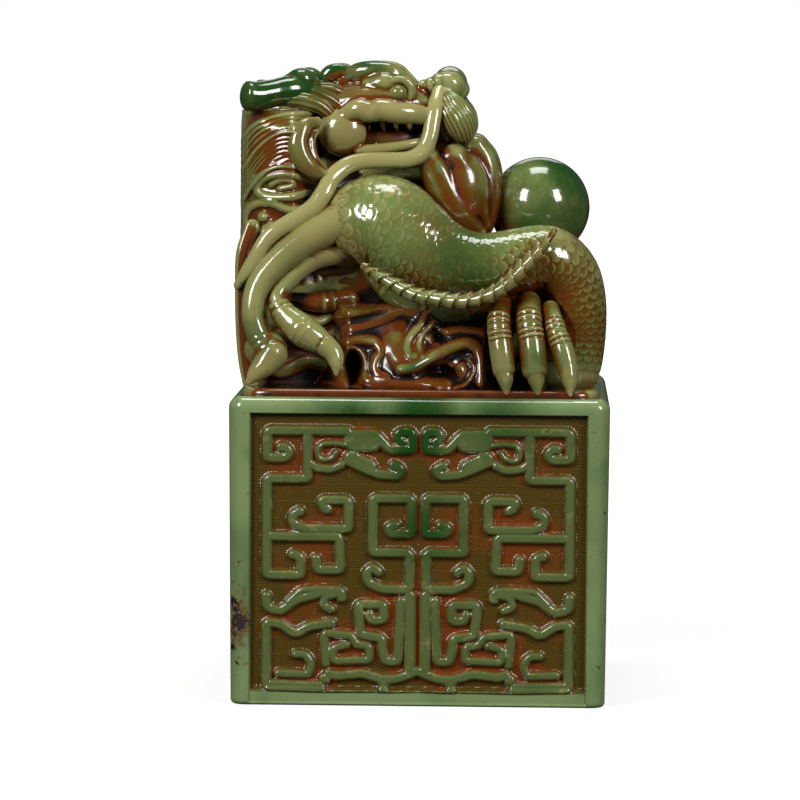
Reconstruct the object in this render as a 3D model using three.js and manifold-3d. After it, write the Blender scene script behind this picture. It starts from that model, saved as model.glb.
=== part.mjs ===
// A square seal with a dragon knob, carved from one stone: a block with four relief panels, and on it a coiled
// dragon that guards a pearl. Each carved form is its own solid, seated against the forms that carry it.
// Millimetres, +Z up. The origin is the middle of the seal face, and the front looks along -Y.
import * as THREE from 'three';
import { mergeGeometries, mergeVertices } from 'three/addons/utils/BufferGeometryUtils.js';
import Module from 'manifold-3d';

const wasm = await Module();
wasm.setup();

// Driving sizes of the block
const blockWidth = 80;
const blockDepth = 80;
const blockHeight = 65;
const footInset = 0.6;
const cornerRadius = 3.2;
const rimRadius = 2.4;
const footRadius = 1.0;

// Driving sizes of the relief panels
const stileWidth = 4.4;
const railWidth = 3.7;
const footBand = 3.2;
const footBandDepth = 0.5;
const recessDepth = 2.4;
const plateThickness = 0.8;
const strapWidth = 2.7;
const strapRise = 1.1;

// Driving sizes of the dragon knob
const knobHeight = 70;
const pearlRadius = 10.8;
const bodyRadius = 7;
const limbRadius = 2.9;
const toeRadius = 2.6;
const clawRadius = 1.9;
const ridgeRadius = 1.5;
const whiskerRadius = 1.6;
const hornRadius = 3.2;
const lockRadius = 2.1;
const scrollRadius = 2.2;
const browRadius = 2.2;
const eyeRadius = 1.9;
const noseRadius = 4.0;
const toothLength = 1.6;

// Clearances: between carved forms that meet, and how far a cut runs past the face it opens
const seam = 0.3;
const overrun = 1;

// How finely round forms are faceted, and the finest step that a cut may leave on them
const finestStep = 0.2;
const cornerSteps = 3;
const limbSides = 8;
const stepsPerStop = 1.4;
const ballSides = 14;

const halfWidth = blockWidth / 2;
const halfDepth = blockDepth / 2;
const up = new THREE.Vector3(0, 0, 1);

// Colours of the stone, by how deep the carver cut
const stoneLooks = {
  greenJade: { color: 0x3f6b38, roughness: 0.2, metalness: 0 },
  paleJade: { color: 0x8f9a66, roughness: 0.2, metalness: 0 },
  oliveJade: { color: 0x5f5a24, roughness: 0.25, metalness: 0 },
  russetStone: { color: 0x7a3d17, roughness: 0.25, metalness: 0 },
  darkStone: { color: 0x2a1509, roughness: 0.35, metalness: 0 },
};

// A closed geometry as a solid that can be joined and cut
function solidOf(geometry) {
  const bare = geometry.index ? geometry.toNonIndexed() : geometry.clone();
  bare.deleteAttribute('normal');
  bare.deleteAttribute('uv');
  const merged = mergeVertices(bare, 1e-4);
  const vertProperties = new Float32Array(merged.attributes.position.array);
  const triVerts = new Uint32Array(merged.index.array);
  return new wasm.Manifold(new wasm.Mesh({ numProp: 3, vertProperties, triVerts }));
}

// A solid as a geometry with flat facets
function geometryOf(solid) {
  const mesh = solid.getMesh();
  const geometry = new THREE.BufferGeometry();
  geometry.setAttribute('position', new THREE.BufferAttribute(new Float32Array(mesh.vertProperties), 3));
  geometry.setIndex(new THREE.BufferAttribute(new Uint32Array(mesh.triVerts), 1));
  const flat = geometry.toNonIndexed();
  flat.computeVertexNormals();
  return flat;
}

// The largest body of a solid, without the slivers that a cut may leave
function mainBody(solid) {
  const bodies = solid.decompose();
  return bodies.reduce((best, body) => (body.volume() > best.volume() ? body : best));
}

// A point given in shares of the half width, the half depth and the knob's height above the block
function place([x, y, z]) {
  return new THREE.Vector3(x * halfWidth, y * halfDepth, blockHeight + z * knobHeight);
}

// Rings of points, each with the same count, skinned into a closed surface with a point at both ends
function skinned(rings, start, end) {
  const count = rings[0].length;
  const points = [start, ...rings.flat(), end];
  const last = points.length - 1;
  const index = [];
  const at = (ring, side) => 1 + ring * count + (side % count);
  for (let side = 0; side < count; side += 1) {
    index.push(0, at(0, side + 1), at(0, side));
    index.push(last, at(rings.length - 1, side), at(rings.length - 1, side + 1));
    for (let ring = 0; ring + 1 < rings.length; ring += 1) {
      index.push(at(ring, side), at(ring, side + 1), at(ring + 1, side + 1));
      index.push(at(ring, side), at(ring + 1, side + 1), at(ring + 1, side));
    }
  }
  const geometry = new THREE.BufferGeometry();
  geometry.setAttribute('position', new THREE.Float32BufferAttribute(points.flatMap((p) => p.toArray()), 3));
  geometry.setIndex(index);
  return geometry;
}

// A tapering limb along stops of [x, y, z, radius] shares, with rounded ends
function limb(stopShares, radius, grow, sides = limbSides) {
  const stops = stopShares.map(place);
  const curve = new THREE.CatmullRomCurve3(stops, false, 'centripetal');
  const steps = Math.ceil((stops.length - 1) * stepsPerStop);
  const frames = curve.computeFrenetFrames(steps);
  const spans = stopShares.length - 1;
  const ring = (t, reach, size, frameAt) => {
    const centre = curve.getPoint(t).addScaledVector(curve.getTangent(t), reach);
    return Array.from({ length: sides }, (_, side) => {
      const turn = (side / sides) * 2 * Math.PI;
      return centre
        .clone()
        .addScaledVector(frames.normals[frameAt], Math.cos(turn) * size)
        .addScaledVector(frames.binormals[frameAt], Math.sin(turn) * size);
    });
  };
  const sizeAt = (t) => {
    const spot = Math.min(t * spans, spans - 1e-9);
    const from = Math.floor(spot);
    const share = THREE.MathUtils.lerp(stopShares[from][3], stopShares[from + 1][3], spot - from);
    return share * radius + grow;
  };
  const capShare = 0.62;
  const rings = [ring(0, -sizeAt(0) * capShare, sizeAt(0) * capShare, 0)];
  for (let step = 0; step <= steps; step += 1) {
    rings.push(ring(step / steps, 0, sizeAt(step / steps), step));
  }
  rings.push(ring(1, sizeAt(1) * capShare, sizeAt(1) * capShare, steps));
  const start = curve.getPoint(0).addScaledVector(curve.getTangent(0), -sizeAt(0));
  const end = curve.getPoint(1).addScaledVector(curve.getTangent(1), sizeAt(1));
  return solidOf(skinned(rings, start, end));
}

// A ball, or an egg with three half sizes
function egg(centreShares, sizes, grow, sides = ballSides) {
  const [x, y, z] = sizes;
  const geometry = new THREE.SphereGeometry(1, sides, Math.ceil(sides / 2));
  geometry.rotateX(Math.PI / 2);
  geometry.scale(x + grow, y + grow, z + grow);
  const centre = place(centreShares);
  geometry.translate(centre.x, centre.y, centre.z);
  return solidOf(geometry);
}

// A form lofted along X through oval stations of [x, low z, high z, middle y, half width] shares
function hull(stationShares, grow, sides = 12) {
  const squareness = 0.8;
  const ringAt = ([x, low, high, middle, wide], shift) => {
    const bottom = place([x, middle, low]).z - grow;
    const top = place([x, middle, high]).z + grow;
    return Array.from({ length: sides }, (_, side) => {
      const turn = (side / sides) * 2 * Math.PI;
      const across = Math.sign(Math.cos(turn)) * Math.abs(Math.cos(turn)) ** squareness;
      const rise = Math.sign(Math.sin(turn)) * Math.abs(Math.sin(turn)) ** squareness;
      return new THREE.Vector3(
        x * halfWidth + shift,
        middle * halfDepth + across * (wide * halfDepth + grow),
        (bottom + top) / 2 + (rise * (top - bottom)) / 2,
      );
    });
  };
  const first = stationShares[0];
  const final = stationShares[stationShares.length - 1];
  const rings = stationShares.map((station) => {
    const shift = station === first ? -grow : station === final ? grow : 0;
    return ringAt(station, shift);
  });
  const middleOf = (ring) => ring.reduce((sum, p) => sum.add(p), new THREE.Vector3()).divideScalar(ring.length);
  return solidOf(skinned(rings, middleOf(rings[0]), middleOf(rings[rings.length - 1])));
}

// One loop round a rounded rectangle at a height, drawn in from the block's full size
function blockRing(inset, z) {
  const radius = Math.max(cornerRadius - inset, footRadius / 2);
  const corners = [[1, 1], [-1, 1], [-1, -1], [1, -1]];
  return corners.flatMap(([sx, sy], corner) => {
    const cx = sx * (halfWidth - inset - radius);
    const cy = sy * (halfDepth - inset - radius);
    return Array.from({ length: cornerSteps + 1 }, (_, step) => {
      const turn = (corner + step / cornerSteps) * (Math.PI / 2);
      return new THREE.Vector3(cx + Math.cos(turn) * radius, cy + Math.sin(turn) * radius, z);
    });
  });
}

// The block: it draws in a little to the foot, and its top edge is a rounded shoulder
function blockBody() {
  const rings = [blockRing(footInset + footRadius * 0.6, 0), blockRing(footInset, footRadius)];
  const rimSteps = 3;
  for (let step = 0; step <= rimSteps; step += 1) {
    const turn = (step / rimSteps) * (Math.PI / 2);
    rings.push(blockRing(rimRadius * (1 - Math.cos(turn)), blockHeight - rimRadius * (1 - Math.sin(turn))));
  }
  return solidOf(skinned(rings, new THREE.Vector3(0, 0, 0), new THREE.Vector3(0, 0, blockHeight)));
}

const lean = Math.atan(footInset / (blockHeight - rimRadius - footRadius));
const sides = [
  { name: 'front', turn: 0, reach: halfDepth, width: blockWidth },
  { name: 'right', turn: Math.PI / 2, reach: halfWidth, width: blockDepth },
  { name: 'back', turn: Math.PI, reach: halfDepth, width: blockWidth },
  { name: 'left', turn: -Math.PI / 2, reach: halfWidth, width: blockDepth },
];

// Panel space: x to the right, y into the stone from the face, z up. This carries it to one side of the block.
function panelPlace(side) {
  const tilt = new THREE.Matrix4().makeRotationX(lean);
  const shift = new THREE.Matrix4().makeTranslation(0, -side.reach, blockHeight - rimRadius);
  const turn = new THREE.Matrix4().makeRotationZ(side.turn);
  return turn.multiply(shift).multiply(tilt);
}

// An outline of [depth, height] points in panel space, run across the panel
function acrossPanel(points, width) {
  const shape = new THREE.Shape(points.map(([depth, height]) => new THREE.Vector2(depth, height)));
  const geometry = new THREE.ExtrudeGeometry(shape, { depth: width, bevelEnabled: false });
  geometry.rotateX(Math.PI / 2);
  geometry.rotateZ(Math.PI / 2);
  geometry.translate(-width / 2, 0, 0);
  return geometry;
}

const panelTop = rimRadius - railWidth - rimRadius * 0.5;
const panelFoot = footBand - (blockHeight - rimRadius);
const panelHeight = panelTop - panelFoot;

// The field sunk into one side, whose floor rises to a shallow band at the foot
function recessCut(side) {
  const foot = panelFoot - footBand - overrun;
  const outline = [
    [-overrun, panelTop],
    [-overrun, foot],
    [footBandDepth, foot],
    [footBandDepth, panelFoot - footBand / 2],
    [recessDepth, panelFoot],
    [recessDepth, panelTop],
  ];
  const geometry = acrossPanel(outline, side.width - 2 * stileWidth);
  return solidOf(geometry.applyMatrix4(panelPlace(side)));
}

// Centre lines of the straps on the left half of a panel, as shares of the half width from its middle, and of
// the height from its foot. They are mirrored on the right.
const strapPathShares = [
  [[-0.78, 0.9], [-0.79, 0.84], [-0.89, 0.84], [-0.89, 0.94], [-0.35, 0.94], [-0.19, 0.87], [-0.05, 0.87],
    [-0.05, 0.94], [-0.13, 0.93]],
  [[-0.65, 0.92], [-0.65, 0.76], [-0.89, 0.76], [-0.89, 0.41], [-0.69, 0.41], [-0.7, 0.49]],
  [[-0.87, 0.55], [-0.46, 0.55], [-0.45, 0.43], [-0.6, 0.44]],
  [[-0.54, 0.65], [-0.54, 0.69], [-0.41, 0.69], [-0.41, 0.6], [-0.7, 0.6], [-0.72, 0.65]],
  [[-0.35, 0.9], [-0.36, 0.81], [-0.1, 0.78], [-0.13, 0.82]],
  [[-0.4, 0.87], [-0.58, 0.88], [-0.6, 0.82], [-0.5, 0.82]],
  [[-0.14, 0.61], [-0.14, 0.57], [-0.05, 0.57], [-0.05, 0.69], [-0.27, 0.69], [-0.27, 0.5], [-0.05, 0.5]],
  [[-0.04, 0.52], [-0.04, 0.05], [-0.2, 0.05], [-0.2, 0.0]],
  [[-0.05, 0.37], [-0.26, 0.38], [-0.26, 0.43]],
  [[-0.06, 0.12], [-0.2, 0.13], [-0.21, 0.21], [-0.34, 0.21], [-0.34, 0.31], [-0.2, 0.31], [-0.22, 0.26]],
  [[-0.5, 0.04], [-0.89, 0.03], [-0.89, 0.24], [-0.72, 0.2], [-0.52, 0.24]],
  [[-0.76, 0.15], [-0.55, 0.15], [-0.54, 0.1], [-0.3, 0.11], [-0.3, 0.17], [-0.46, 0.17]],
  [[-0.9, 0.35], [-0.85, 0.29], [-0.7, 0.33], [-0.47, 0.36], [-0.55, 0.28]],
];

// The outline of a strap of one width along a centre line, mitred at its corners
function strapOutline(path, width) {
  const left = [];
  const right = [];
  path.forEach((point, index) => {
    const before = path[Math.max(index - 1, 0)];
    const after = path[Math.min(index + 1, path.length - 1)];
    const arriving = point.clone().sub(before);
    const leaving = after.clone().sub(point);
    if (arriving.lengthSq() === 0) {
      arriving.copy(leaving);
    }
    if (leaving.lengthSq() === 0) {
      leaving.copy(arriving);
    }
    arriving.normalize();
    leaving.normalize();
    const along = arriving.clone().add(leaving).normalize();
    const mitre = new THREE.Vector2(-along.y, along.x);
    const stretch = Math.max(mitre.dot(new THREE.Vector2(-arriving.y, arriving.x)), 0.6);
    mitre.multiplyScalar(width / 2 / stretch);
    left.push(point.clone().add(mitre));
    right.unshift(point.clone().sub(mitre));
  });
  return [...left, ...right];
}

// A relief panel: a thin ground plate that lines the field, with the straps standing on it
function reliefPanel(side) {
  const width = side.width - 2 * stileWidth - 2 * seam;
  const top = panelTop - seam;
  const foot = panelFoot + seam;
  const back = recessDepth - seam;
  const face = back - plateThickness;
  const plate = acrossPanel([[face, foot], [back, foot], [back, top], [face, top]], width);
  const straps = strapPathShares.flatMap((shares) => [-1, 1].map((hand) => {
    const path = shares.map(([x, z]) => {
      return new THREE.Vector2((-hand * x * width) / 2, foot + strapWidth * 0.5 + z * (top - foot - strapWidth));
    });
    const shape = new THREE.Shape(strapOutline(path, strapWidth));
    const strap = new THREE.ExtrudeGeometry(shape, { depth: strapRise + plateThickness / 2, bevelEnabled: false });
    strap.rotateX(Math.PI / 2);
    strap.translate(0, face + plateThickness / 2, 0);
    return solidOf(strap);
  }));
  const carved = straps.reduce((whole, strap) => whole.add(strap), solidOf(plate));
  return mainBody(carved.transform(panelPlace(side).elements));
}

// The same table on the other side of the knob's middle plane
function farSide(stopShares) {
  return stopShares.map(([x, y, z, ...rest]) => [x, -y, z, ...rest]);
}

// The head's stations, from the nape to the nose: x, low z, high z, middle y and half width, all shares
const skullShares = [
  [-0.68, 0.76, 0.88, 0, 0.24],
  [-0.54, 0.73, 0.93, 0, 0.38],
  [-0.4, 0.78, 0.95, 0, 0.43],
  [-0.22, 0.81, 0.965, 0, 0.43],
  [-0.06, 0.81, 0.945, 0, 0.38],
  [0.05, 0.8, 0.92, 0, 0.32],
  [0.16, 0.79, 0.93, 0, 0.29],
  [0.24, 0.79, 0.9, 0, 0.22],
];
const lipShares = [[-0.47, -0.42, 0.83, 0.9], [-0.36, -0.46, 0.855, 1], [-0.22, -0.46, 0.845, 0.95],
  [-0.1, -0.43, 0.85, 0.95], [0.02, -0.36, 0.84, 0.8]];
const browShares = [[-0.44, -0.3, 0.93, 0.7], [-0.35, -0.32, 0.965, 1], [-0.22, -0.32, 0.975, 1.05],
  [-0.12, -0.31, 0.96, 0.8], [-0.05, -0.28, 0.925, 0.5]];
const jawShares = [[-0.48, -0.36, 0.735, 1], [-0.34, -0.38, 0.735, 1], [-0.14, -0.36, 0.74, 0.95],
  [0.02, -0.3, 0.73, 0.95], [0.16, -0.2, 0.69, 1], [0.27, -0.06, 0.69, 1.05]];
const cheekSpot = [-0.48, -0.43, 0.775];
const eyeSpot = [-0.09, -0.38, 0.905];
const noseSpot = [0.13, 0, 0.935];
const hornShares = [[-0.5, -0.28, 0.9, 0.9], [-0.62, -0.36, 0.91, 1], [-0.74, -0.44, 0.905, 1], [-0.86, -0.5, 0.895, 1],
  [-0.91, -0.52, 0.895, 1.05]];
const prongShares = [[-0.64, -0.3, 0.94, 0.6], [-0.69, -0.33, 0.965, 0.75], [-0.76, -0.36, 0.96, 0.55]];
const topCurlShares = [[-0.36, -0.14, 0.95, 0.5], [-0.47, -0.18, 0.975, 0.9], [-0.55, -0.22, 0.955, 0.8],
  [-0.52, -0.26, 0.91, 0.6]];
const earShares = [[-0.53, -0.46, 0.83, 0.5], [-0.63, -0.52, 0.81, 0.9], [-0.68, -0.56, 0.75, 1.1],
  [-0.64, -0.57, 0.7, 0.9], [-0.54, -0.54, 0.66, 0.4]];
const whiskerShares = [[0.1, -0.28, 0.9, 0.9], [0.08, -0.36, 0.86, 1.1], [0.06, -0.4, 0.79, 1],
  [0.02, -0.44, 0.72, 1.1], [-0.1, -0.47, 0.7, 1], [-0.26, -0.51, 0.705, 1], [-0.4, -0.58, 0.69, 1.05],
  [-0.5, -0.64, 0.64, 1.15], [-0.57, -0.67, 0.58, 1.15], [-0.69, -0.7, 0.54, 1], [-0.81, -0.71, 0.49, 0.9],
  [-0.89, -0.7, 0.42, 0.85], [-0.93, -0.68, 0.35, 0.6]];
const beardShares = [[0.12, -0.2, 0.68, 1], [0.22, -0.22, 0.64, 1.3], [0.27, -0.26, 0.58, 1.2],
  [0.28, -0.3, 0.52, 0.8]];
const throatShares = [[0.04, -0.36, 0.68, 0.9], [0.12, -0.4, 0.61, 1], [0.16, -0.43, 0.53, 0.8]];
const tuftShares = [[0.14, -0.3, 0.9, 0.6], [0.21, -0.28, 0.87, 0.9], [0.25, -0.19, 0.81, 0.8]];
const lockTableShares = [
  [[-0.54, -0.4, 0.85, 0.8], [-0.69, -0.46, 0.84, 1], [-0.83, -0.52, 0.81, 1], [-0.92, -0.54, 0.75, 0.7]],
  [[-0.62, -0.5, 0.8, 0.7], [-0.76, -0.56, 0.78, 1], [-0.88, -0.58, 0.73, 1], [-0.93, -0.6, 0.65, 0.7]],
  [[-0.66, -0.56, 0.72, 0.7], [-0.78, -0.6, 0.71, 1], [-0.88, -0.62, 0.66, 1], [-0.93, -0.63, 0.58, 0.7]],
];
const curlTableShares = [
  [[-0.52, -0.62, 0.63, 0.6], [-0.68, -0.65, 0.61, 0.9], [-0.81, -0.66, 0.62, 0.9], [-0.83, -0.66, 0.66, 0.8],
    [-0.72, -0.64, 0.67, 0.7]],
  [[-0.6, -0.64, 0.57, 0.6], [-0.76, -0.66, 0.57, 0.9], [-0.88, -0.67, 0.55, 0.9], [-0.9, -0.67, 0.51, 0.8],
    [-0.83, -0.66, 0.48, 0.6]],
];
const sideWaveShares = [[-0.91, -0.58, 0.48, 0.8], [-0.93, -0.6, 0.38, 1], [-0.93, -0.62, 0.26, 1],
  [-0.92, -0.64, 0.14, 1], [-0.9, -0.66, 0.04, 0.9]];

const bodyShares = [[-0.32, -0.5, 0.5, 1.25], [-0.16, -0.54, 0.49, 1.42], [0.06, -0.6, 0.42, 1.2],
  [0.22, -0.64, 0.385, 1.05], [0.36, -0.65, 0.385, 1], [0.46, -0.64, 0.39, 1]];
const haunchShares = [[0.52, -0.63, 0.4, 1], [0.66, -0.58, 0.405, 1.02], [0.75, -0.54, 0.36, 1.05],
  [0.79, -0.52, 0.29, 1.03], [0.8, -0.5, 0.2, 1], [0.79, -0.5, 0.11, 0.95], [0.78, -0.5, 0.09, 0.9]];
const ridgeShares = [[-0.29, -0.74, 0.38, 0.7], [-0.17, -0.8, 0.345, 1], [-0.04, -0.83, 0.31, 1.05],
  [0.08, -0.85, 0.295, 1.1], [0.21, -0.86, 0.285, 1.1], [0.35, -0.86, 0.3, 1.1], [0.47, -0.85, 0.35, 1.1],
  [0.57, -0.83, 0.41, 1], [0.7, -0.76, 0.5, 0.5]];
const neckShares = [[-0.3, -0.3, 0.55, 1.2], [-0.34, -0.12, 0.64, 1.2], [-0.32, 0, 0.74, 1.1]];
const armShares = [[-0.47, -0.6, 0.51, 1.35], [-0.62, -0.66, 0.46, 1.2], [-0.77, -0.7, 0.39, 1.05],
  [-0.86, -0.74, 0.32, 0.92], [-0.88, -0.77, 0.23, 0.88], [-0.84, -0.79, 0.16, 0.95], [-0.79, -0.8, 0.12, 1]];
const armClawShares = [[-0.79, -0.82, 0.12, 1.1], [-0.83, -0.85, 0.09, 1], [-0.89, -0.87, 0.055, 0.7]];
const innerArmShares = [[-0.44, -0.58, 0.43, 0.95], [-0.59, -0.63, 0.4, 0.85], [-0.71, -0.68, 0.34, 0.75],
  [-0.76, -0.72, 0.29, 0.75], [-0.69, -0.76, 0.23, 0.9], [-0.58, -0.79, 0.18, 0.95], [-0.5, -0.8, 0.15, 0.9]];
const innerClawShares = [[-0.49, -0.81, 0.145, 1.2], [-0.45, -0.83, 0.115, 1], [-0.44, -0.85, 0.075, 0.5]];
const backToeShares = [[-0.7, -0.56, 0.28, 0.6], [-0.54, -0.55, 0.27, 0.85], [-0.38, -0.5, 0.28, 0.8]];
const toeTableShares = [
  [[0.42, -0.72, 0.26, 0.9], [0.41, -0.82, 0.22, 0.95], [0.43, -0.87, 0.15, 0.95], [0.44, -0.89, 0.09, 0.9]],
  [[0.57, -0.72, 0.27, 1], [0.57, -0.82, 0.22, 1.05], [0.59, -0.87, 0.15, 1.05], [0.6, -0.89, 0.09, 1]],
  [[0.68, -0.72, 0.25, 0.8], [0.71, -0.82, 0.2, 0.85], [0.75, -0.87, 0.14, 0.85], [0.77, -0.89, 0.09, 0.8]],
];
const toeClawTableShares = [
  [[0.44, -0.9, 0.08, 1], [0.45, -0.92, 0.05, 0.85], [0.45, -0.935, 0.015, 0.4]],
  [[0.6, -0.9, 0.08, 1.1], [0.61, -0.92, 0.05, 0.9], [0.62, -0.935, 0.015, 0.4]],
  [[0.77, -0.9, 0.08, 1], [0.78, -0.92, 0.05, 0.85], [0.79, -0.935, 0.015, 0.4]],
];
const pearlSpot = [0.62, -0.05, 0.555];
const cloudTableShares = [
  [[-0.43, -0.72, 0.14, 0.7], [-0.33, -0.75, 0.15, 0.8], [-0.25, -0.77, 0.13, 0.85], [-0.23, -0.79, 0.1, 0.9],
    [-0.15, -0.81, 0.06, 1], [0.0, -0.81, 0.045, 1], [0.13, -0.8, 0.05, 0.8]],
  [[0.01, -0.66, 0.23, 0.8], [-0.03, -0.71, 0.17, 0.9], [-0.06, -0.74, 0.12, 1], [0.01, -0.76, 0.11, 1],
    [0.1, -0.76, 0.14, 1], [0.21, -0.76, 0.155, 1], [0.28, -0.78, 0.12, 1], [0.27, -0.8, 0.06, 0.9],
    [0.2, -0.82, 0.03, 0.7]],
];
const bodyBackShares = [[0.78, -0.3, 0.12, 0.85], [0.82, -0.05, 0.13, 0.85], [0.78, 0.3, 0.18, 0.85],
  [0.55, 0.6, 0.25, 0.9], [0.2, 0.72, 0.3, 0.95], [-0.15, 0.72, 0.33, 0.9]];
const tailShares = [[-0.22, 0.71, 0.33, 0.85], [-0.48, 0.7, 0.33, 0.72], [-0.72, 0.62, 0.36, 0.58],
  [-0.86, 0.46, 0.42, 0.5], [-0.92, 0.25, 0.48, 0.4]];
const tailFinShares = [[-0.92, 0.16, 0.5, 0.8], [-0.93, 0.02, 0.54, 1.1], [-0.93, -0.1, 0.55, 0.6]];
const backCrestShares = [[-0.66, 0.3, 0.88, 0.9], [-0.76, 0.5, 0.8, 1.2], [-0.7, 0.58, 0.66, 1.1],
  [-0.56, 0.62, 0.54, 1], [-0.36, 0.62, 0.46, 0.8]];
const hindLegShares = [[0.3, 0.76, 0.24, 1.5], [0.42, 0.84, 0.19, 1.3], [0.4, 0.87, 0.11, 1.1],
  [0.46, 0.88, 0.055, 1.1]];
const farLegShares = [[-0.5, 0.6, 0.3, 1.4], [-0.66, 0.7, 0.22, 1.2], [-0.62, 0.76, 0.13, 1.1],
  [-0.68, 0.82, 0.07, 1.1]];
const coreShares = [
  [-0.9, 0, 0.6, 0, 0.5],
  [-0.84, 0, 0.76, 0, 0.56],
  [-0.66, 0, 0.82, 0, 0.56],
  [-0.5, 0, 0.78, 0, 0.52],
  [-0.2, 0, 0.7, 0, 0.5],
  [0.1, 0, 0.62, 0, 0.5],
  [0.35, 0, 0.46, 0, 0.48],
  [0.62, 0, 0.44, 0, 0.46],
  [0.86, 0, 0.3, 0, 0.4],
];

const tube = (name, look, stopShares, radius, count) => {
  return { name, look, make: (grow) => limb(stopShares, radius, grow, count) };
};
const ball = (name, look, centreShares, sizes, count) => {
  return { name, look, make: (grow) => egg(centreShares, sizes, grow, count) };
};
const mirrored = (name, look, stopShares, radius, count) => [
  tube(`${name}_near`, look, stopShares, radius, count),
  tube(`${name}_far`, look, farSide(stopShares), radius, count),
];
const mirroredBall = (name, look, centreShares, sizes, count) => [
  ball(`${name}_near`, look, centreShares, sizes, count),
  ball(`${name}_far`, look, farSide([centreShares])[0], sizes, count),
];

// The dragon's forms. Each keeps its shape where it meets a form that comes later, which is cut to seat it.
const forms = [
  ball('pearl', 'greenJade', pearlSpot, [pearlRadius, pearlRadius, pearlRadius], 18),
  { name: 'skull', look: 'paleJade', make: (grow) => hull(skullShares, grow) },
  { name: 'core', look: 'darkStone', make: (grow) => hull(coreShares, grow) },
  ...mirrored('whisker', 'paleJade', whiskerShares, whiskerRadius, 6),
  ...mirroredBall('eye', 'paleJade', eyeSpot, [eyeRadius, eyeRadius, eyeRadius], 10),
  ...mirrored('brow', 'greenJade', browShares, browRadius, 6),
  ...mirrored('lip', 'paleJade', lipShares, browRadius, 6),
  ...mirroredBall('cheek', 'paleJade', cheekSpot, [lockRadius * 1.9, lockRadius * 1.3, lockRadius * 2], 10),
  ball('nose', 'paleJade', noseSpot, [noseRadius * 0.95, noseRadius * 1.5, noseRadius * 0.75], 12),
  tube('nose_tuft', 'paleJade', tuftShares, lockRadius, 6),
  ...mirrored('horn', 'greenJade', hornShares, hornRadius, 8),
  tube('horn_prong', 'greenJade', prongShares, hornRadius, 6),
  tube('top_curl', 'greenJade', topCurlShares, hornRadius, 6),
  ...mirrored('ear', 'paleJade', earShares, lockRadius, 6),
  ...mirrored('jaw', 'russetStone', jawShares, browRadius, 6),
  tube('beard', 'russetStone', beardShares, lockRadius * 1.8, 8),
  tube('ridge', 'paleJade', ridgeShares, ridgeRadius, 6),
  ...lockTableShares.flatMap((lock, index) => mirrored(`mane_lock_${index + 1}`, 'oliveJade', lock, lockRadius, 6)),
  ...curlTableShares.map((curl, index) => tube(`mane_curl_${index + 1}`, 'paleJade', curl, scrollRadius, 6)),
  tube('side_wave', 'oliveJade', sideWaveShares, scrollRadius, 6),
  ...toeClawTableShares.map((claw, index) => tube(`foot_claw_${index + 1}`, 'paleJade', claw, clawRadius, 6)),
  ...toeTableShares.map((toe, index) => tube(`foot_toe_${index + 1}`, 'paleJade', toe, toeRadius, 8)),
  tube('arm_claw', 'greenJade', armClawShares, clawRadius, 6),
  tube('inner_arm_claw', 'paleJade', innerClawShares, clawRadius, 6),
  tube('arm', 'greenJade', armShares, limbRadius, 8),
  tube('inner_arm', 'paleJade', innerArmShares, limbRadius, 8),
  tube('back_toe', 'russetStone', backToeShares, limbRadius, 6),
  tube('body', 'greenJade', bodyShares, bodyRadius, 12),
  tube('haunch', 'oliveJade', haunchShares, bodyRadius, 12),
  ...cloudTableShares.map((cloud, index) => tube(`cloud_${index + 1}`, 'oliveJade', cloud, scrollRadius, 6)),
  tube('tail_fin', 'paleJade', tailFinShares, lockRadius, 6),
  tube('tail', 'oliveJade', tailShares, bodyRadius, 8),
  tube('back_body', 'oliveJade', bodyBackShares, bodyRadius, 10),
  tube('back_crest', 'paleJade', backCrestShares, limbRadius, 8),
  tube('hind_leg', 'greenJade', hindLegShares, limbRadius, 8),
  tube('far_leg', 'greenJade', farLegShares, limbRadius, 8),
];

const seal = new THREE.Group();
seal.name = 'dragon_knob_seal';

function addPart(name, look, solid) {
  const mesh = new THREE.Mesh(geometryOf(solid), new THREE.MeshStandardMaterial(stoneLooks[look]));
  mesh.name = name;
  seal.add(mesh);
}

const block = sides.reduce((solid, side) => solid.subtract(recessCut(side)), blockBody());
addPart('block', 'greenJade', block);
sides.forEach((side) => addPart(`relief_${side.name}`, 'oliveJade', reliefPanel(side)));

// A slab over the block's top face, which keeps the dragon clear of it
const topGuard = solidOf(
  new THREE.BoxGeometry(blockWidth * 2, blockDepth * 2, knobHeight).translate(0, 0, blockHeight + seam - knobHeight / 2),
);
const grown = [];
forms.forEach(({ name, look, make }) => {
  const cut = grown.reduce((solid, other) => solid.subtract(other), make(0).subtract(topGuard));
  addPart(name, look, mainBody(cut.simplify(finestStep)));
  grown.push(make(seam));
});

export default seal;
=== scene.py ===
"""The finish of a dragon-knob seal: a glossy green stone, carved, with russet in its hollows and nearly black painted
shade in its deepest cavities.
"""

import functools

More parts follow.
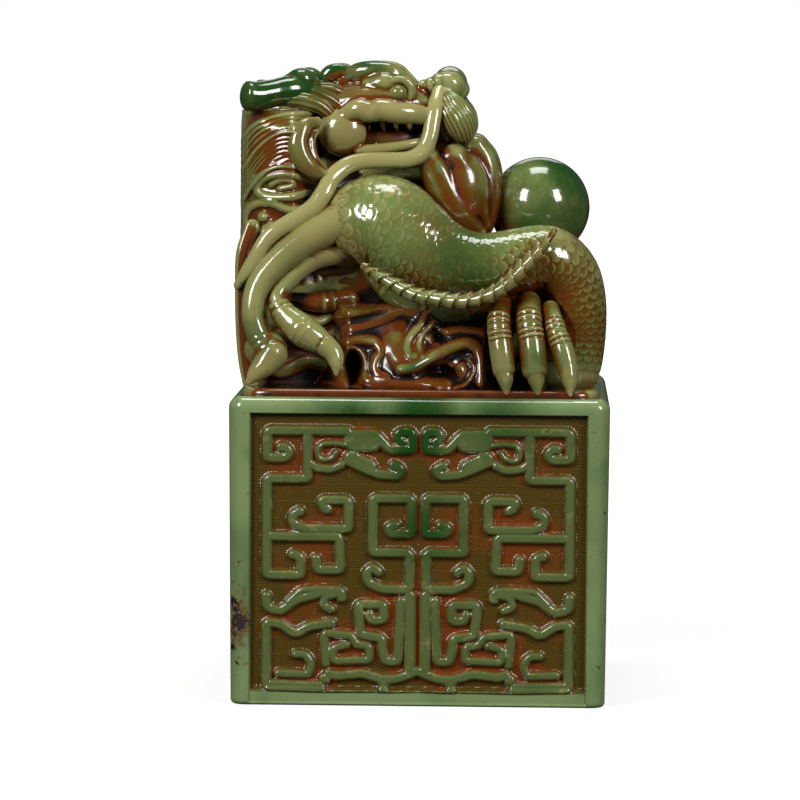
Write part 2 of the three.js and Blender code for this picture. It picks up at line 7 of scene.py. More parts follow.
import bpy
import mathutils
import numpy as np
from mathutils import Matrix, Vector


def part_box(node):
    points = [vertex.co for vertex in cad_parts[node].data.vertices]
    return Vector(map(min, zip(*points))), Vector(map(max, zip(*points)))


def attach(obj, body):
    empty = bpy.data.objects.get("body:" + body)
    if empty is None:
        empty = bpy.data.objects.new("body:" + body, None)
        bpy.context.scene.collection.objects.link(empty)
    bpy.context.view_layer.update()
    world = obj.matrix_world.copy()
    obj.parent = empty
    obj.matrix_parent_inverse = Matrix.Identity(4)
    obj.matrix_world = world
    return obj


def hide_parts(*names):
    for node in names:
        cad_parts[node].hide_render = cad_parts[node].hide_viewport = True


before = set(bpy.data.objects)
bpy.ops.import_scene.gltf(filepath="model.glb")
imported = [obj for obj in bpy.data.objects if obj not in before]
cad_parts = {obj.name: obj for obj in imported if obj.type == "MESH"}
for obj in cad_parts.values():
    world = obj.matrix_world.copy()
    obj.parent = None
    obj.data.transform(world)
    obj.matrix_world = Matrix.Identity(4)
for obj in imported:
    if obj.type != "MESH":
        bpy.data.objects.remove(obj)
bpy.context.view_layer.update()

bl_info = {
    "name": "Dragon Seal Finish",
    "version": (1, 0, 0),
    "blender": (4, 5, 0),
    "location": "View3D > Sidebar > Seal",
    "description": "Builds the carved and polished stone of a dragon-knob seal",
    "category": "Object",
}

MM = 0.001
TURN = 2 * np.pi

# Sizes of the seal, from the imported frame
BLOCK_LOW, BLOCK_HIGH = (np.array(corner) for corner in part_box("block"))
HALF_WIDTH = BLOCK_HIGH[0]
HALF_DEPTH = BLOCK_HIGH[1]
BLOCK_TOP = BLOCK_HIGH[2]
KNOB_HEIGHT = 70 * MM
FOOT_INSET = 0.6 * MM
CORNER_RADIUS = 3.2 * MM
RIM_RADIUS = 2.4 * MM
FOOT_RADIUS = 1.0 * MM

# Sizes of the relief panels
STILE = 4.4 * MM
RAIL = 3.7 * MM
FOOT_BAND = 3.2 * MM
RECESS = 1.6 * MM
STRAP_HALF = 1.38 * MM
STRAP_RISE = 1.15 * MM
EDGE_ROUND = 0.95 * MM


# Small numpy tools


def smooth_step(low, high, value):
    """0 below low, 1 above high, and a smooth S between."""
    share = np.clip((value - low) / (high - low), 0, 1)
    return share * share * (3 - 2 * share)


def place(shares):
    """Points from shares of the half width, the half depth and the knob's height; more columns are kept."""
    points = np.array(shares, float)
    points[:, 0] *= HALF_WIDTH
    points[:, 1] *= HALF_DEPTH
    points[:, 2] = BLOCK_TOP + points[:, 2] * KNOB_HEIGHT
    return points


def far_side(shares):
    """The same table mirrored to the knob's far side."""
    points = np.array(shares, float)
    points[:, 1] *= -1
    return points


def catmull(points, step, space=3):
    """Rows spread evenly along a smooth curve through the given rows. Columns past the space ones follow."""
    points = np.asarray(points, float)
    padded = np.vstack([2 * points[0] - points[1], points, 2 * points[-1] - points[-2]])
    t = np.linspace(0, 1, 24, endpoint=False)[None, :, None]
    a, b, c, d = (padded[k : len(padded) - 3 + k, None, :] for k in range(4))
    rows = 0.5 * (2 * b + (c - a) * t + (2 * a - 5 * b + 4 * c - d) * t**2 + (3 * b - a - 3 * c + d) * t**3)
    rows = np.vstack([rows.reshape(-1, points.shape[1]), points[-1]])
    travel = np.concatenate([[0], np.cumsum(np.linalg.norm(np.diff(rows[:, :space], axis=0), axis=1))])
    count = max(int(travel[-1] / step), 4) + 1
    even = np.linspace(0, travel[-1], count)
    return np.stack([np.interp(even, travel, column) for column in rows.T], axis=1), even


def unit(vectors):
    return vectors / np.maximum(np.linalg.norm(vectors, axis=-1, keepdims=True), 1e-12)


# Surfaces: each is a grid of rings by points, closed by a point at both ends


def tube(shares, radius, around=36, step=0.4 * MM, face=(0, -1, 0), flat=1.0, detail=None, end=1.0):
    """A limb of round or oval section along a smooth path. A ring stands square to the path at each step, its
    radius is the table's fourth column times radius, and both ends are rounded off over end times that radius.
    detail adds a rise that depends on the distance along, the angle round and the radius there."""
    rows, along = catmull(place(shares), step)
    centre, size = rows[:, :3], rows[:, 3] * radius
    heading = unit(np.gradient(centre, axis=0))
    cap = np.linspace(0.12, 1, 6)[:-1] * np.pi / 2
    first = centre[0] - heading[0] * size[0] * end * np.cos(cap)[:, None]
    last = centre[-1] + heading[-1] * size[-1] * end * np.cos(cap[::-1])[:, None]
    centre = np.vstack([first, centre, last])
    size = np.concatenate([size[0] * np.sin(cap), size, size[-1] * np.sin(cap[::-1])])
    heading = np.vstack([heading[[0] * len(cap)], heading, heading[[-1] * len(cap)]])
    along = np.concatenate([along[[0] * len(cap)], along, along[[-1] * len(cap)]])
    face = np.array(face, float)
    outward = unit(face - (heading @ face)[:, None] * heading)
    across = np.cross(heading, outward)
    turn = np.linspace(0, TURN, around, endpoint=False)
    rise = np.zeros((len(size), around)) if detail is None else detail(along[:, None], turn[None, :], size[:, None])
    reach = size[:, None] + rise * np.minimum(size[:, None] / max(size.max(), 1e-9) * 3, 1)
    grid = centre[:, None] + outward[:, None] * (np.cos(turn) * flat)[None, :, None] * reach[..., None]
    grid += across[:, None] * np.sin(turn)[None, :, None] * reach[..., None]
    return grid


def egg(centre_shares, sizes, around=48, rings=32, detail=None):
    """A ball or egg: rings from its foot to its crown. detail scales each point outward."""
    centre = place([centre_shares])[0]
    tilt = np.linspace(-np.pi / 2, np.pi / 2, rings + 2)[1:-1, None]
    turn = np.linspace(0, TURN, around, endpoint=False)[None, :]
    ways = np.stack([np.cos(tilt) * np.cos(turn), np.cos(tilt) * np.sin(turn), np.sin(tilt) + 0 * turn], axis=-1)
    swell = 1.0 if detail is None else 1 + detail(ways)[..., None]
    return centre + ways * np.array(sizes) * swell


def hull(stations, around=72, step=0.5 * MM, square=0.82, detail=None):
    """A form lofted along X through oval stations of x, low z, high z, middle y and half width, all shares."""
    stations = np.array(stations, float)
    rows = stations * np.array([HALF_WIDTH, KNOB_HEIGHT, KNOB_HEIGHT, HALF_DEPTH, HALF_DEPTH])
    rows, along = catmull(rows, step, space=1)
    round_off = np.minimum(along, along[-1] - along)[:, None]
    taper = np.sqrt(1 - (1 - np.clip(round_off / (3 * MM), 0.02, 1)) ** 2)
    turn = np.linspace(0, TURN, around, endpoint=False)[None, :]
    wide = np.sign(np.cos(turn)) * np.abs(np.cos(turn)) ** square
    high = np.sign(np.sin(turn)) * np.abs(np.sin(turn)) ** square
    x, low, top, middle, half = (rows[:, k : k + 1] for k in range(5))
    grid = np.stack([x + 0 * turn, middle + wide * half * taper,
                     BLOCK_TOP + (low + top) / 2 + high * (top - low) / 2 * taper], axis=-1)
    if detail is not None:
        grid = grid + unit(grid - grid.mean(axis=1, keepdims=True)) * detail(grid)[..., None]
    return grid


def carved_wall(ridges, low, high, face, back, step=0.19 * MM, soft=0.4):
    """A wall that looks forward and carries rounded ridges along smooth paths. Each ring runs along the carved face
    and returns along a flat rear. The face lies at face(x, z) less the highest ridge there, and a ridge is an arch:
    its rise times the root of one less the squared share of its half width, mixed by soft with a wider bell curve. Ridges that meet
    are joined by the cube root of the sum of their cubes."""
    x, z = np.meshgrid(np.arange(low[0], high[0], step / MM), np.arange(low[1], high[1], step / MM))
    rise = np.zeros_like(x)
    for half, height, path in ridges:
        spots, _ = catmull(np.array(path, float), 0.5, space=2)
        away = np.full_like(x, np.inf)
        for (x0, z0), (x1, z1) in zip(spots[:-1], spots[1:]):
            run = max((x1 - x0) ** 2 + (z1 - z0) ** 2, 1e-9)
            t = np.clip(((x - x0) * (x1 - x0) + (z - z0) * (z1 - z0)) / run, 0, 1)
            away = np.minimum(away, np.hypot(x - x0 - t * (x1 - x0), z - z0 - t * (z1 - z0)))
        arch = np.sqrt(np.clip(1 - (away / half) ** 2, 0, 1))
        rise = rise**3 + (height * ((1 - soft) * arch + soft * np.exp(-((away / half) ** 2) / 3))) ** 3
        rise = np.cbrt(rise)
    y = face(x, z) - rise
    rear = np.full((len(z), 2), float(back))
    ring_x = np.concatenate([x, x[:, [-1, 0]]], axis=1)
    ring_z = np.concatenate([z, z[:, [-1, 0]]], axis=1)
    return np.stack([ring_x, np.concatenate([y, rear], axis=1), ring_z], axis=-1) * MM


def pit(x, z, spot, size, depth):
    """A soft pit: its depth times a bell curve of the distance from its middle, in shares of its size."""
    return depth * np.exp(-(((x - spot[0]) / size[0]) ** 2) - ((z - spot[1]) / size[1]) ** 2)


def mane_face(x, z):
    """The mane's swelling front, which falls back towards its borders."""
    side = 1 - np.sqrt(1 - (1 - np.clip((x + 39.3) / 6, 0, 1)) ** 2)
    foot = 1 - smooth_step(0, 3, z - 87.8)
    start = -34 + 6 * smooth_step(96, 104, z)
    inner = smooth_step(start, start + 8.5, x)
    top = smooth_step(120.5, 125, z)
    return -24.6 + 0.016 * (x + 22) ** 2 + 9 * side + 4 * foot + 11 * inner + 3 * top


def bed_face(x, z):
    """The bed's front: it leans back as it rises, swells in its middle and has four pits."""
    border = smooth_step(0, 1, np.minimum.reduce([(x + 23) / 8, (18 - x) / 5, (86.5 - z) / 4]))
    back = -31.3 + 0.36 * (z - 67) + 12 * (1 - border)
    holes = pit(x, z, (-14.3, 70.6), (1.7, 2.9), 8) + pit(x, z, (4.2, 69.6), (3.2, 1.6), 4)
    holes += pit(x, z, (3.6, 77.3), (1.2, 1.0), 3) + pit(x, z, (9, 81), (5, 1.6), 3)
    return back + holes - pit(x, z, (-4, 71), (5.5, 4), 1.6)


def inner_face(x, z):
    """The deep wall between the legs."""
    return -20.5 + 0.1 * (x + 24) ** 2 * 0.2 - 1.2 * np.sin(z / 3.1 + x / 5)


def rounded_slab(low, high, half, corner, edge):
    """Rings of a rounded square from low to high: the upper edge follows a quarter circle."""
    bend = np.linspace(0, np.pi / 2, 6)
    z = np.concatenate([[low], high - edge * (1 - np.sin(bend)), np.full(6, high)])
    inset = np.concatenate([[0], edge * (1 - np.cos(bend)), np.linspace(3 * MM, half * 0.9, 6)])
    turn = np.linspace(0, TURN, 320, endpoint=False)
    power = 14.0
    reach = (np.abs(np.cos(turn)) ** power + np.abs(np.sin(turn)) ** power) ** (-1 / power)
    ring = np.stack([np.cos(turn) * reach, np.sin(turn) * reach], axis=-1)
    grid = ring[None] * (half - inset)[:, None, None]
    return np.concatenate([grid, np.broadcast_to(z[:, None, None], (*grid.shape[:2], 1))], axis=-1)


# Carved detail, as rises along a limb


def scales(pitch, width, rise, skip=None):
    """Overlapping round scales. Rows follow each other along the limb, each is set half a scale round from the
    one before, and a scale rises to its free edge and drops there. skip gives where the skin is smooth."""

    def detail(along, turn, size):
        count = np.round(TURN * np.median(size) / width)
        cross = turn / TURN * count
        best = np.full(np.broadcast(along, turn).shape, np.inf)
        row = np.floor(along / pitch)
        for k in (-2, -1, 0, 1):
            local = (cross + 0.5 * ((row + k) % 2)) % 1 - 0.5
            edge = (row + k) * pitch + np.sqrt(np.maximum(1 - (2 * local) ** 2, 0)) * pitch
            best = np.minimum(best, np.where(edge >= along, edge, np.inf))
        climb = 1 - 0.45 * np.clip((best - along) / (1.7 * pitch), 0, 1)
        lip = smooth_step(0.0, 0.3, (best - along) / pitch)
        height = rise * climb * (0.35 + 0.65 * lip)
        return height if skip is None else height * skip(along, turn, size)

    return detail


def combed(count, depth, twist=0.0, waver=0.0):
    """Fine strands that run along a lock of hair, as ridges round its section."""

    def detail(along, turn, size):
        sway = waver * np.sin(along / (4 * MM))
        ridge = np.abs(np.sin((turn + sway) * count / 2 + twist * along / MM))
        return depth * size * (ridge - 0.6)

    return detail


def knuckled(places, depth, width):
    """Pairs of skin folds across a toe at the given distances along it."""

    def detail(along, turn, size):
        total = 0 * along * turn
        for spot in places:
            offset = (along - spot * MM) / (width * MM)
            total = total + np.exp(-(offset**2)) * 0.9 - 0.75 * np.exp(-((np.abs(offset) - 1.5) ** 2) * 3)
        return depth * MM * total * smooth_step(-0.2, 0.7, np.cos(turn + 0.3))

    return detail


def plated(pitch, rise):
    """Leaf plates along a crest: each climbs slowly and drops at its tip."""

    def detail(along, turn, size):
        phase = (along / pitch + 0.3 * np.sin(turn) + 0.2 * np.cos(turn)) % 1
        return rise * (phase**1.4 - 0.4) * np.ones_like(turn)

    return detail


def furrowed(depth):
    """A ribbon with a soft groove along its face and rolled edges."""

    def detail(along, turn, size):
        return -depth * size * np.exp(-((np.cos(turn) - 1) ** 2) * 9)

    return detail


# Tables of the carved forms: x, y, z and radius shares, chosen as in the part
BODY = [[-0.42, -0.46, 0.47, 1.0], [-0.34, -0.5, 0.5, 1.35], [-0.2, -0.53, 0.505, 1.5], [-0.06, -0.57, 0.46, 1.38],
        [0.08, -0.6, 0.415, 1.18], [0.22, -0.63, 0.39, 1.05], [0.36, -0.64, 0.385, 1], [0.52, -0.61, 0.4, 1],
        [0.66, -0.58, 0.405, 1.02], [0.75, -0.54, 0.36, 1.04], [0.79, -0.52, 0.29, 1.03], [0.8, -0.5, 0.2, 1],
        [0.79, -0.5, 0.11, 0.97], [0.78, -0.5, 0.07, 0.92]]
RIDGE = [[-0.3, -0.76, 0.385, 0.6], [-0.22, -0.79, 0.36, 0.9], [-0.12, -0.81, 0.33, 1.05], [-0.02, -0.83, 0.305, 1.1],
         [0.08, -0.85, 0.295, 1.15], [0.21, -0.86, 0.288, 1.15], [0.33, -0.86, 0.3, 1.2], [0.43, -0.85, 0.33, 1.2],
         [0.53, -0.84, 0.385, 1.15], [0.62, -0.81, 0.44, 1.0], [0.7, -0.77, 0.5, 0.4]]
ARM = [[-0.42, -0.6, 0.53, 1.4], [-0.5, -0.63, 0.5, 1.35], [-0.62, -0.66, 0.46, 1.22], [-0.77, -0.7, 0.39, 1.05],
       [-0.86, -0.74, 0.32, 0.92], [-0.885, -0.77, 0.25, 0.84], [-0.87, -0.78, 0.2, 0.84], [-0.83, -0.79, 0.15, 0.98],
       [-0.79, -0.8, 0.125, 1.1]]
ARM_CLAW = [[-0.78, -0.81, 0.12, 1.35], [-0.82, -0.84, 0.09, 1.1], [-0.87, -0.86, 0.06, 0.7], [-0.9, -0.87, 0.04, 0.3]]
INNER_ARM = [[-0.44, -0.58, 0.43, 1.0], [-0.59, -0.63, 0.4, 0.85], [-0.71, -0.68, 0.34, 0.72], [-0.76, -0.72, 0.29, 0.7],
             [-0.72, -0.75, 0.24, 0.95], [-0.64, -0.78, 0.2, 1.15], [-0.56, -0.79, 0.17, 1.05], [-0.5, -0.8, 0.15, 0.8]]
INNER_CLAW = [[-0.5, -0.81, 0.15, 1.25], [-0.455, -0.83, 0.125, 1.1], [-0.44, -0.85, 0.095, 0.8], [-0.44, -0.86, 0.065, 0.25]]
BACK_TOE = [[-0.7, -0.56, 0.28, 0.6], [-0.54, -0.55, 0.27, 0.85], [-0.38, -0.5, 0.28, 0.8]]
TOES = [[[0.42, -0.7, 0.27, 0.85], [0.41, -0.82, 0.225, 0.95], [0.425, -0.87, 0.15, 0.97], [0.44, -0.89, 0.085, 0.92]],
        [[0.57, -0.7, 0.28, 0.95], [0.57, -0.82, 0.225, 1.05], [0.59, -0.87, 0.15, 1.07], [0.6, -0.89, 0.085, 1.02]],
        [[0.68, -0.7, 0.26, 0.75], [0.71, -0.82, 0.2, 0.86], [0.75, -0.87, 0.14, 0.9], [0.775, -0.89, 0.085, 0.85]]]
TOE_CLAWS = [[[0.44, -0.895, 0.085, 1.1], [0.45, -0.915, 0.05, 0.85], [0.455, -0.93, 0.012, 0.25]],
             [[0.6, -0.895, 0.085, 1.2], [0.612, -0.915, 0.05, 0.9], [0.62, -0.93, 0.012, 0.25]],
             [[0.775, -0.895, 0.085, 1.1], [0.785, -0.915, 0.05, 0.85], [0.79, -0.93, 0.012, 0.25]]]
SKULL = [[-0.68, 0.76, 0.88, 0, 0.24], [-0.54, 0.76, 0.93, 0, 0.38], [-0.4, 0.79, 0.95, 0, 0.42],
         [-0.22, 0.82, 0.96, 0, 0.42], [-0.06, 0.82, 0.935, 0, 0.38], [0.05, 0.81, 0.91, 0, 0.33],
         [0.16, 0.8, 0.92, 0, 0.29], [0.26, 0.8, 0.88, 0, 0.2]]
MOUTH = [[-0.45, 0.7, 0.82, 0, 0.34], [-0.2, 0.69, 0.83, 0, 0.36], [0.05, 0.68, 0.83, 0, 0.28], [0.22, 0.68, 0.82, 0, 0.15]]
HORN = [[-0.48, -0.28, 0.9, 0.8], [-0.6, -0.35, 0.905, 0.95], [-0.7, -0.41, 0.91, 1.05], [-0.8, -0.46, 0.902, 0.95],
        [-0.88, -0.5, 0.893, 1.0], [-0.93, -0.52, 0.894, 1.02]]
PRONG = [[-0.6, -0.36, 0.92, 0.9], [-0.65, -0.38, 0.942, 1.15], [-0.72, -0.4, 0.93, 0.9]]
SIDE_WAVE = [[-0.9, -0.6, 0.5, 0.8], [-0.935, -0.62, 0.42, 1], [-0.94, -0.63, 0.32, 1], [-0.935, -0.64, 0.2, 1],
             [-0.92, -0.65, 0.1, 1], [-0.9, -0.67, 0.03, 0.9]]
CORE = [[-0.9, 0, 0.6, 0, 0.5], [-0.84, 0, 0.76, 0, 0.56], [-0.66, 0, 0.82, 0, 0.56], [-0.5, 0, 0.78, 0, 0.52],
        [-0.2, 0, 0.7, 0, 0.5], [0.1, 0, 0.6, 0, 0.48], [0.35, 0, 0.46, 0, 0.46], [0.62, 0, 0.42, 0, 0.44],
        [0.84, 0, 0.3, 0, 0.4]]
PEARL = [0.62, -0.05, 0.555]
TAIL = [[-0.22, 0.71, 0.33, 0.85], [-0.48, 0.7, 0.33, 0.72], [-0.72, 0.62, 0.36, 0.58], [-0.86, 0.46, 0.42, 0.5],
        [-0.92, 0.25, 0.48, 0.36]]
TAIL_FIN = [[-0.92, 0.18, 0.5, 0.8], [-0.93, 0.02, 0.54, 1.1], [-0.93, -0.1, 0.55, 0.5]]
BACK_BODY = [[0.78, -0.3, 0.12, 0.85], [0.82, -0.05, 0.13, 0.85], [0.78, 0.3, 0.18, 0.85], [0.55, 0.6, 0.25, 0.9],
             [0.2, 0.72, 0.3, 0.95], [-0.15, 0.72, 0.33, 0.9]]
BACK_CREST = [[-0.66, 0.3, 0.88, 0.9], [-0.76, 0.5, 0.8, 1.2], [-0.7, 0.58, 0.66, 1.1], [-0.56, 0.62, 0.54, 1],
              [-0.36, 0.62, 0.46, 0.8]]
HIND_LEG = [[0.3, 0.76, 0.24, 1.5], [0.42, 0.84, 0.19, 1.3], [0.4, 0.87, 0.11, 1.1], [0.46, 0.88, 0.055, 1.1]]
FAR_LEG = [[-0.5, 0.6, 0.3, 1.4], [-0.66, 0.7, 0.22, 1.2], [-0.62, 0.76, 0.13, 1.1], [-0.68, 0.82, 0.07, 1.1]]

WHISKER = [[0.089, -0.25, 0.93, 0.75], [0.074, -0.312, 0.9, 0.9], [0.059, -0.375, 0.862, 0.95],
           [0.047, -0.4, 0.825, 1], [0.031, -0.425, 0.772, 1], [-0.004, -0.445, 0.728, 1.05],
           [-0.075, -0.475, 0.706, 1], [-0.181, -0.49, 0.703, 0.95], [-0.312, -0.505, 0.7, 1],
           [-0.403, -0.532, 0.685, 1.05], [-0.478, -0.575, 0.65, 1.1], [-0.52, -0.625, 0.605, 1.1],
           [-0.575, -0.65, 0.561, 1.1], [-0.665, -0.675, 0.526, 1.05], [-0.762, -0.7, 0.493, 1],
           [-0.827, -0.71, 0.457, 0.95], [-0.879, -0.71, 0.405, 0.9], [-0.929, -0.7, 0.359, 0.8],
           [-0.969, -0.685, 0.325, 0.55]]
EAR = [[-0.56, -0.537, 0.82, 0.45], [-0.626, -0.588, 0.803, 0.8], [-0.661, -0.613, 0.756, 1.05],
       [-0.639, -0.62, 0.708, 1.05], [-0.584, -0.613, 0.674, 0.85], [-0.521, -0.6, 0.662, 0.4]]
EAR_INNER = [[-0.569, -0.55, 0.79, 0.4], [-0.603, -0.575, 0.764, 0.7], [-0.602, -0.585, 0.726, 0.75],
             [-0.566, -0.585, 0.692, 0.6], [-0.52, -0.575, 0.678, 0.3]]
LIP = [[-0.409, -0.44, 0.837, 0.9], [-0.349, -0.45, 0.854, 1.1], [-0.289, -0.458, 0.848, 1.05],
       [-0.223, -0.458, 0.854, 1.12], [-0.144, -0.45, 0.846, 1.08], [-0.072, -0.425, 0.844, 1.05],
       [-0.013, -0.388, 0.838, 0.95]]
LIP_UNDER = [[-0.369, -0.43, 0.755, 0.5], [-0.342, -0.438, 0.731, 0.6], [-0.236, -0.44, 0.735, 0.55],
             [-0.117, -0.43, 0.745, 0.5], [-0.025, -0.4, 0.756, 0.45]]
BROW = [[-0.417, -0.263, 0.947, 0.7], [-0.35, -0.287, 0.966, 1], [-0.256, -0.305, 0.97, 1.05],
        [-0.176, -0.305, 0.965, 1], [-0.124, -0.29, 0.948, 0.8], [-0.064, -0.263, 0.925, 0.5]]
FOREHEAD = [[-0.294, -0.338, 0.925, 0.9], [-0.214, -0.35, 0.933, 1.1], [-0.155, -0.34, 0.929, 0.9]]
MOUSTACHE = [[0.114, -0.287, 0.9, 0.8], [0.144, -0.32, 0.866, 1.45], [0.178, -0.325, 0.828, 1.75],
             [0.204, -0.3, 0.794, 1.5], [0.218, -0.263, 0.769, 0.8]]
BEARD_A = [[0.028, -0.388, 0.703, 0.8], [0.075, -0.388, 0.658, 1], [0.122, -0.388, 0.598, 1.05],
           [0.196, -0.375, 0.537, 0.95], [0.296, -0.325, 0.484, 0.5]]
BEARD_B = [[0.16, -0.338, 0.703, 1], [0.207, -0.338, 0.65, 1.15], [0.248, -0.325, 0.582, 1.15],
           [0.295, -0.287, 0.513, 0.8]]
BEARD_C = [[0.271, -0.225, 0.74, 0.8], [0.311, -0.212, 0.695, 1], [0.325, -0.212, 0.634, 1.1],
           [0.317, -0.225, 0.573, 1.1], [0.31, -0.25, 0.505, 0.8]]
CHIN = [[0.028, -0.375, 0.715, 0.7], [0.107, -0.325, 0.695, 0.85], [0.198, -0.25, 0.689, 0.95],
        [0.27, -0.163, 0.705, 0.9], [0.289, -0.05, 0.723, 0.8]]
BELLY = [[-0.284, -0.475, 0.409, 0.5], [-0.202, -0.512, 0.365, 0.62], [-0.068, -0.55, 0.306, 0.7],
         [0.117, -0.575, 0.281, 0.72], [0.302, -0.575, 0.29, 0.72], [0.473, -0.55, 0.316, 0.7],
         [0.604, -0.5, 0.33, 0.6]]
SNOUT = [[-0.059, -0.2, 0.906, 0.8], [-0.012, -0.225, 0.918, 0.8], [0.035, -0.237, 0.926, 0.85],
         [0.088, -0.237, 0.934, 1.1], [0.141, -0.225, 0.93, 1.25], [0.174, -0.2, 0.915, 1.1]]
KNOT = [[-0.511, -0.25, 0.924, 0.5], [-0.531, -0.263, 0.946, 0.8], [-0.498, -0.263, 0.964, 0.95],
        [-0.444, -0.263, 0.966, 0.9], [-0.424, -0.275, 0.947, 0.7], [-0.456, -0.29, 0.932, 0.5]]
TEMPLE_A = [[-0.398, -0.375, 0.842, 0.5], [-0.504, -0.388, 0.883, 0.8], [-0.597, -0.4, 0.905, 0.8],
            [-0.663, -0.412, 0.914, 0.6]]
TEMPLE_B = [[-0.414, -0.338, 0.89, 0.5], [-0.48, -0.35, 0.909, 0.8], [-0.572, -0.362, 0.916, 0.7],
            [-0.638, -0.375, 0.924, 0.5]]
TEMPLE_C = [[-0.449, -0.425, 0.815, 0.5], [-0.542, -0.438, 0.86, 0.8], [-0.634, -0.45, 0.879, 0.9],
            [-0.713, -0.45, 0.882, 0.7]]

# Ridges carved on the mane: half width, rise and path across and up, all in millimetres
STRANDS = [
    ([(-24, 124), (-30, 123.6), (-35.5, 121.8), (-39.3, 117.6)], [(-26, 120.4), (-30.5, 120), (-35, 117), (-39, 111.8)]),
    ([(-26, 119.8), (-30.6, 119.4), (-35, 116.3), (-39, 110.9)],
     [(-26.5, 115.9), (-30.5, 115.6), (-34.6, 112.4), (-39.2, 105)]),
    ([(-25.8, 115), (-29.8, 114.9), (-34, 111.9), (-39.1, 104.2)],
     [(-20.5, 111.4), (-25, 112.2), (-31, 112.4), (-35.8, 110.4)]),
]
MANE_RIDGES = [
    (1.0, 1.7, [(-21.5, 107.9), (-27.5, 106.4), (-33.3, 106.3), (-35.3, 107.9), (-34.0, 110.0), (-29.7, 111.2),
                (-24.9, 110.4), (-22.5, 108.9)]),
    (0.7, 1.3, [(-32.0, 108.9), (-30.2, 109.9), (-27.8, 109.7), (-27.4, 108.8), (-30.2, 108.1)]),
    (1.0, 1.8, [(-21.3, 105.1), (-27.5, 103.5), (-32.3, 105.0), (-36.2, 104.3), (-38.1, 101.6), (-37.2, 98.9),
                (-34.6, 98.9), (-32.0, 100.3)]),
    (1.2, 1.8, [(-33.9, 102.0), (-33.8, 102.0)]),
    (1.0, 1.7, [(-29.7, 98.5), (-35.9, 98.4), (-38.5, 98.7), (-39.4, 95.2), (-39.1, 91.5), (-38.0, 88.0)]),
    (0.9, 1.4, [(-34.9, 97.4), (-36.4, 94.7), (-37.5, 92.1)]),
    (0.8, 1.2, [(-22, 100.5), (-27, 99.6), (-31.5, 96.0), (-34, 91)]),
    (0.8, 1.0, [(-22, 97.5), (-26, 96.5), (-30, 92.5), (-31.5, 89)]),
]

# Ridges carved on the bed of clouds, in the same way
BED_RIDGES = [
    (1.0, 1.0, [(-14.5, 78.6), (-12.3, 79.1), (-7.6, 80.9), (-3.9, 82.5), (-0.9, 81.5), (0.1, 80.2)]),
    (1.15, 1.8, [(-15.9, 75.5), (-13.6, 76.3), (-11.4, 76.5), (-9.5, 76.0), (-8.5, 74.3), (-9.3, 72.7),
                 (-9.7, 71.0), (-8.9, 69.5), (-7.2, 68.8)]),
    (0.6, 2.0, [(-16.9, 72.4), (-15.5, 74.2), (-14.2, 74.6), (-12.7, 73.9), (-11.9, 72.0), (-12.0, 68.6)]),
    (1.5, 2.2, [(-12.4, 68.9), (-10.7, 68.0), (-7.5, 67.5), (-1.9, 67.3), (2.8, 68.1), (5.3, 67.2)]),
    (3.0, 2.3, [(-5.3, 75.6), (-3.8, 73.5), (-1.0, 71.6)]),
    (0.95, 2.7, [(1.2, 82.4), (-0.1, 79.6), (-2.0, 77.5), (-2.8, 75.4), (-2.2, 73.6), (-1.2, 73.4)]),
    (0.8, 2.1, [(2.6, 80.3), (0.5, 78.1), (-0.4, 75.8), (0.2, 73.6)]),
    (1.35, 3.0, [(-3.8, 70.6), (-0.8, 71.5), (1.8, 73.0), (4.7, 74.3), (7.5, 75.5), (10.1, 76.0), (11.9, 74.8),
                 (12.7, 72.2), (12.9, 68.2)]),
    (1.9, 2.4, [(9.1, 70.3), (9.25, 70.2)]),
    (0.6, 2.8, [(10.3, 72.5), (11.3, 71.2), (10.9, 69.2), (9.4, 67.4), (7.3, 66.7)]),
    (0.8, 1.8, [(11.1, 69.3), (12.4, 67.3), (15.0, 66.4)]),
    (0.9, 1.5, [(1.8, 76.9), (4.6, 77.9), (8.4, 79.0), (12.3, 78.4), (16.0, 77.1)]),
    (1.0, 1.3, [(-18.0, 81.5), (-12.0, 82.6), (-7.0, 84.0)]),
]

# Ridges of the deep wall between the legs
DEEP_RIDGES = [
    (1.6, 1.6, [(-37, 70), (-30, 69), (-24, 71), (-18, 69)]),
    (1.4, 1.5, [(-36, 75), (-30, 77), (-24, 75), (-17, 78)]),
    (1.3, 1.6, [(-34, 80), (-28, 82), (-22, 80), (-16, 83), (-12, 82)]),
    (1.5, 1.4, [(-36, 84), (-30, 87), (-23, 85), (-17, 88), (-12, 87)]),
    (1.4, 1.3, [(-30, 91), (-22, 90), (-14, 91.5)]),
]

# Radii that go with the tables
BODY_RADIUS = 7 * MM
LIMB_RADIUS = 2.9 * MM
TOE_RADIUS = 2.6 * MM
CLAW_RADIUS = 1.9 * MM
RIDGE_RADIUS = 1.4 * MM
WHISKER_RADIUS = 1.75 * MM
HORN_RADIUS = 3.2 * MM
LOCK_RADIUS = 2.1 * MM
SCROLL_RADIUS = 2.2 * MM
FACE_RADIUS = 2.2 * MM
PEARL_RADIUS = 10.8 * MM


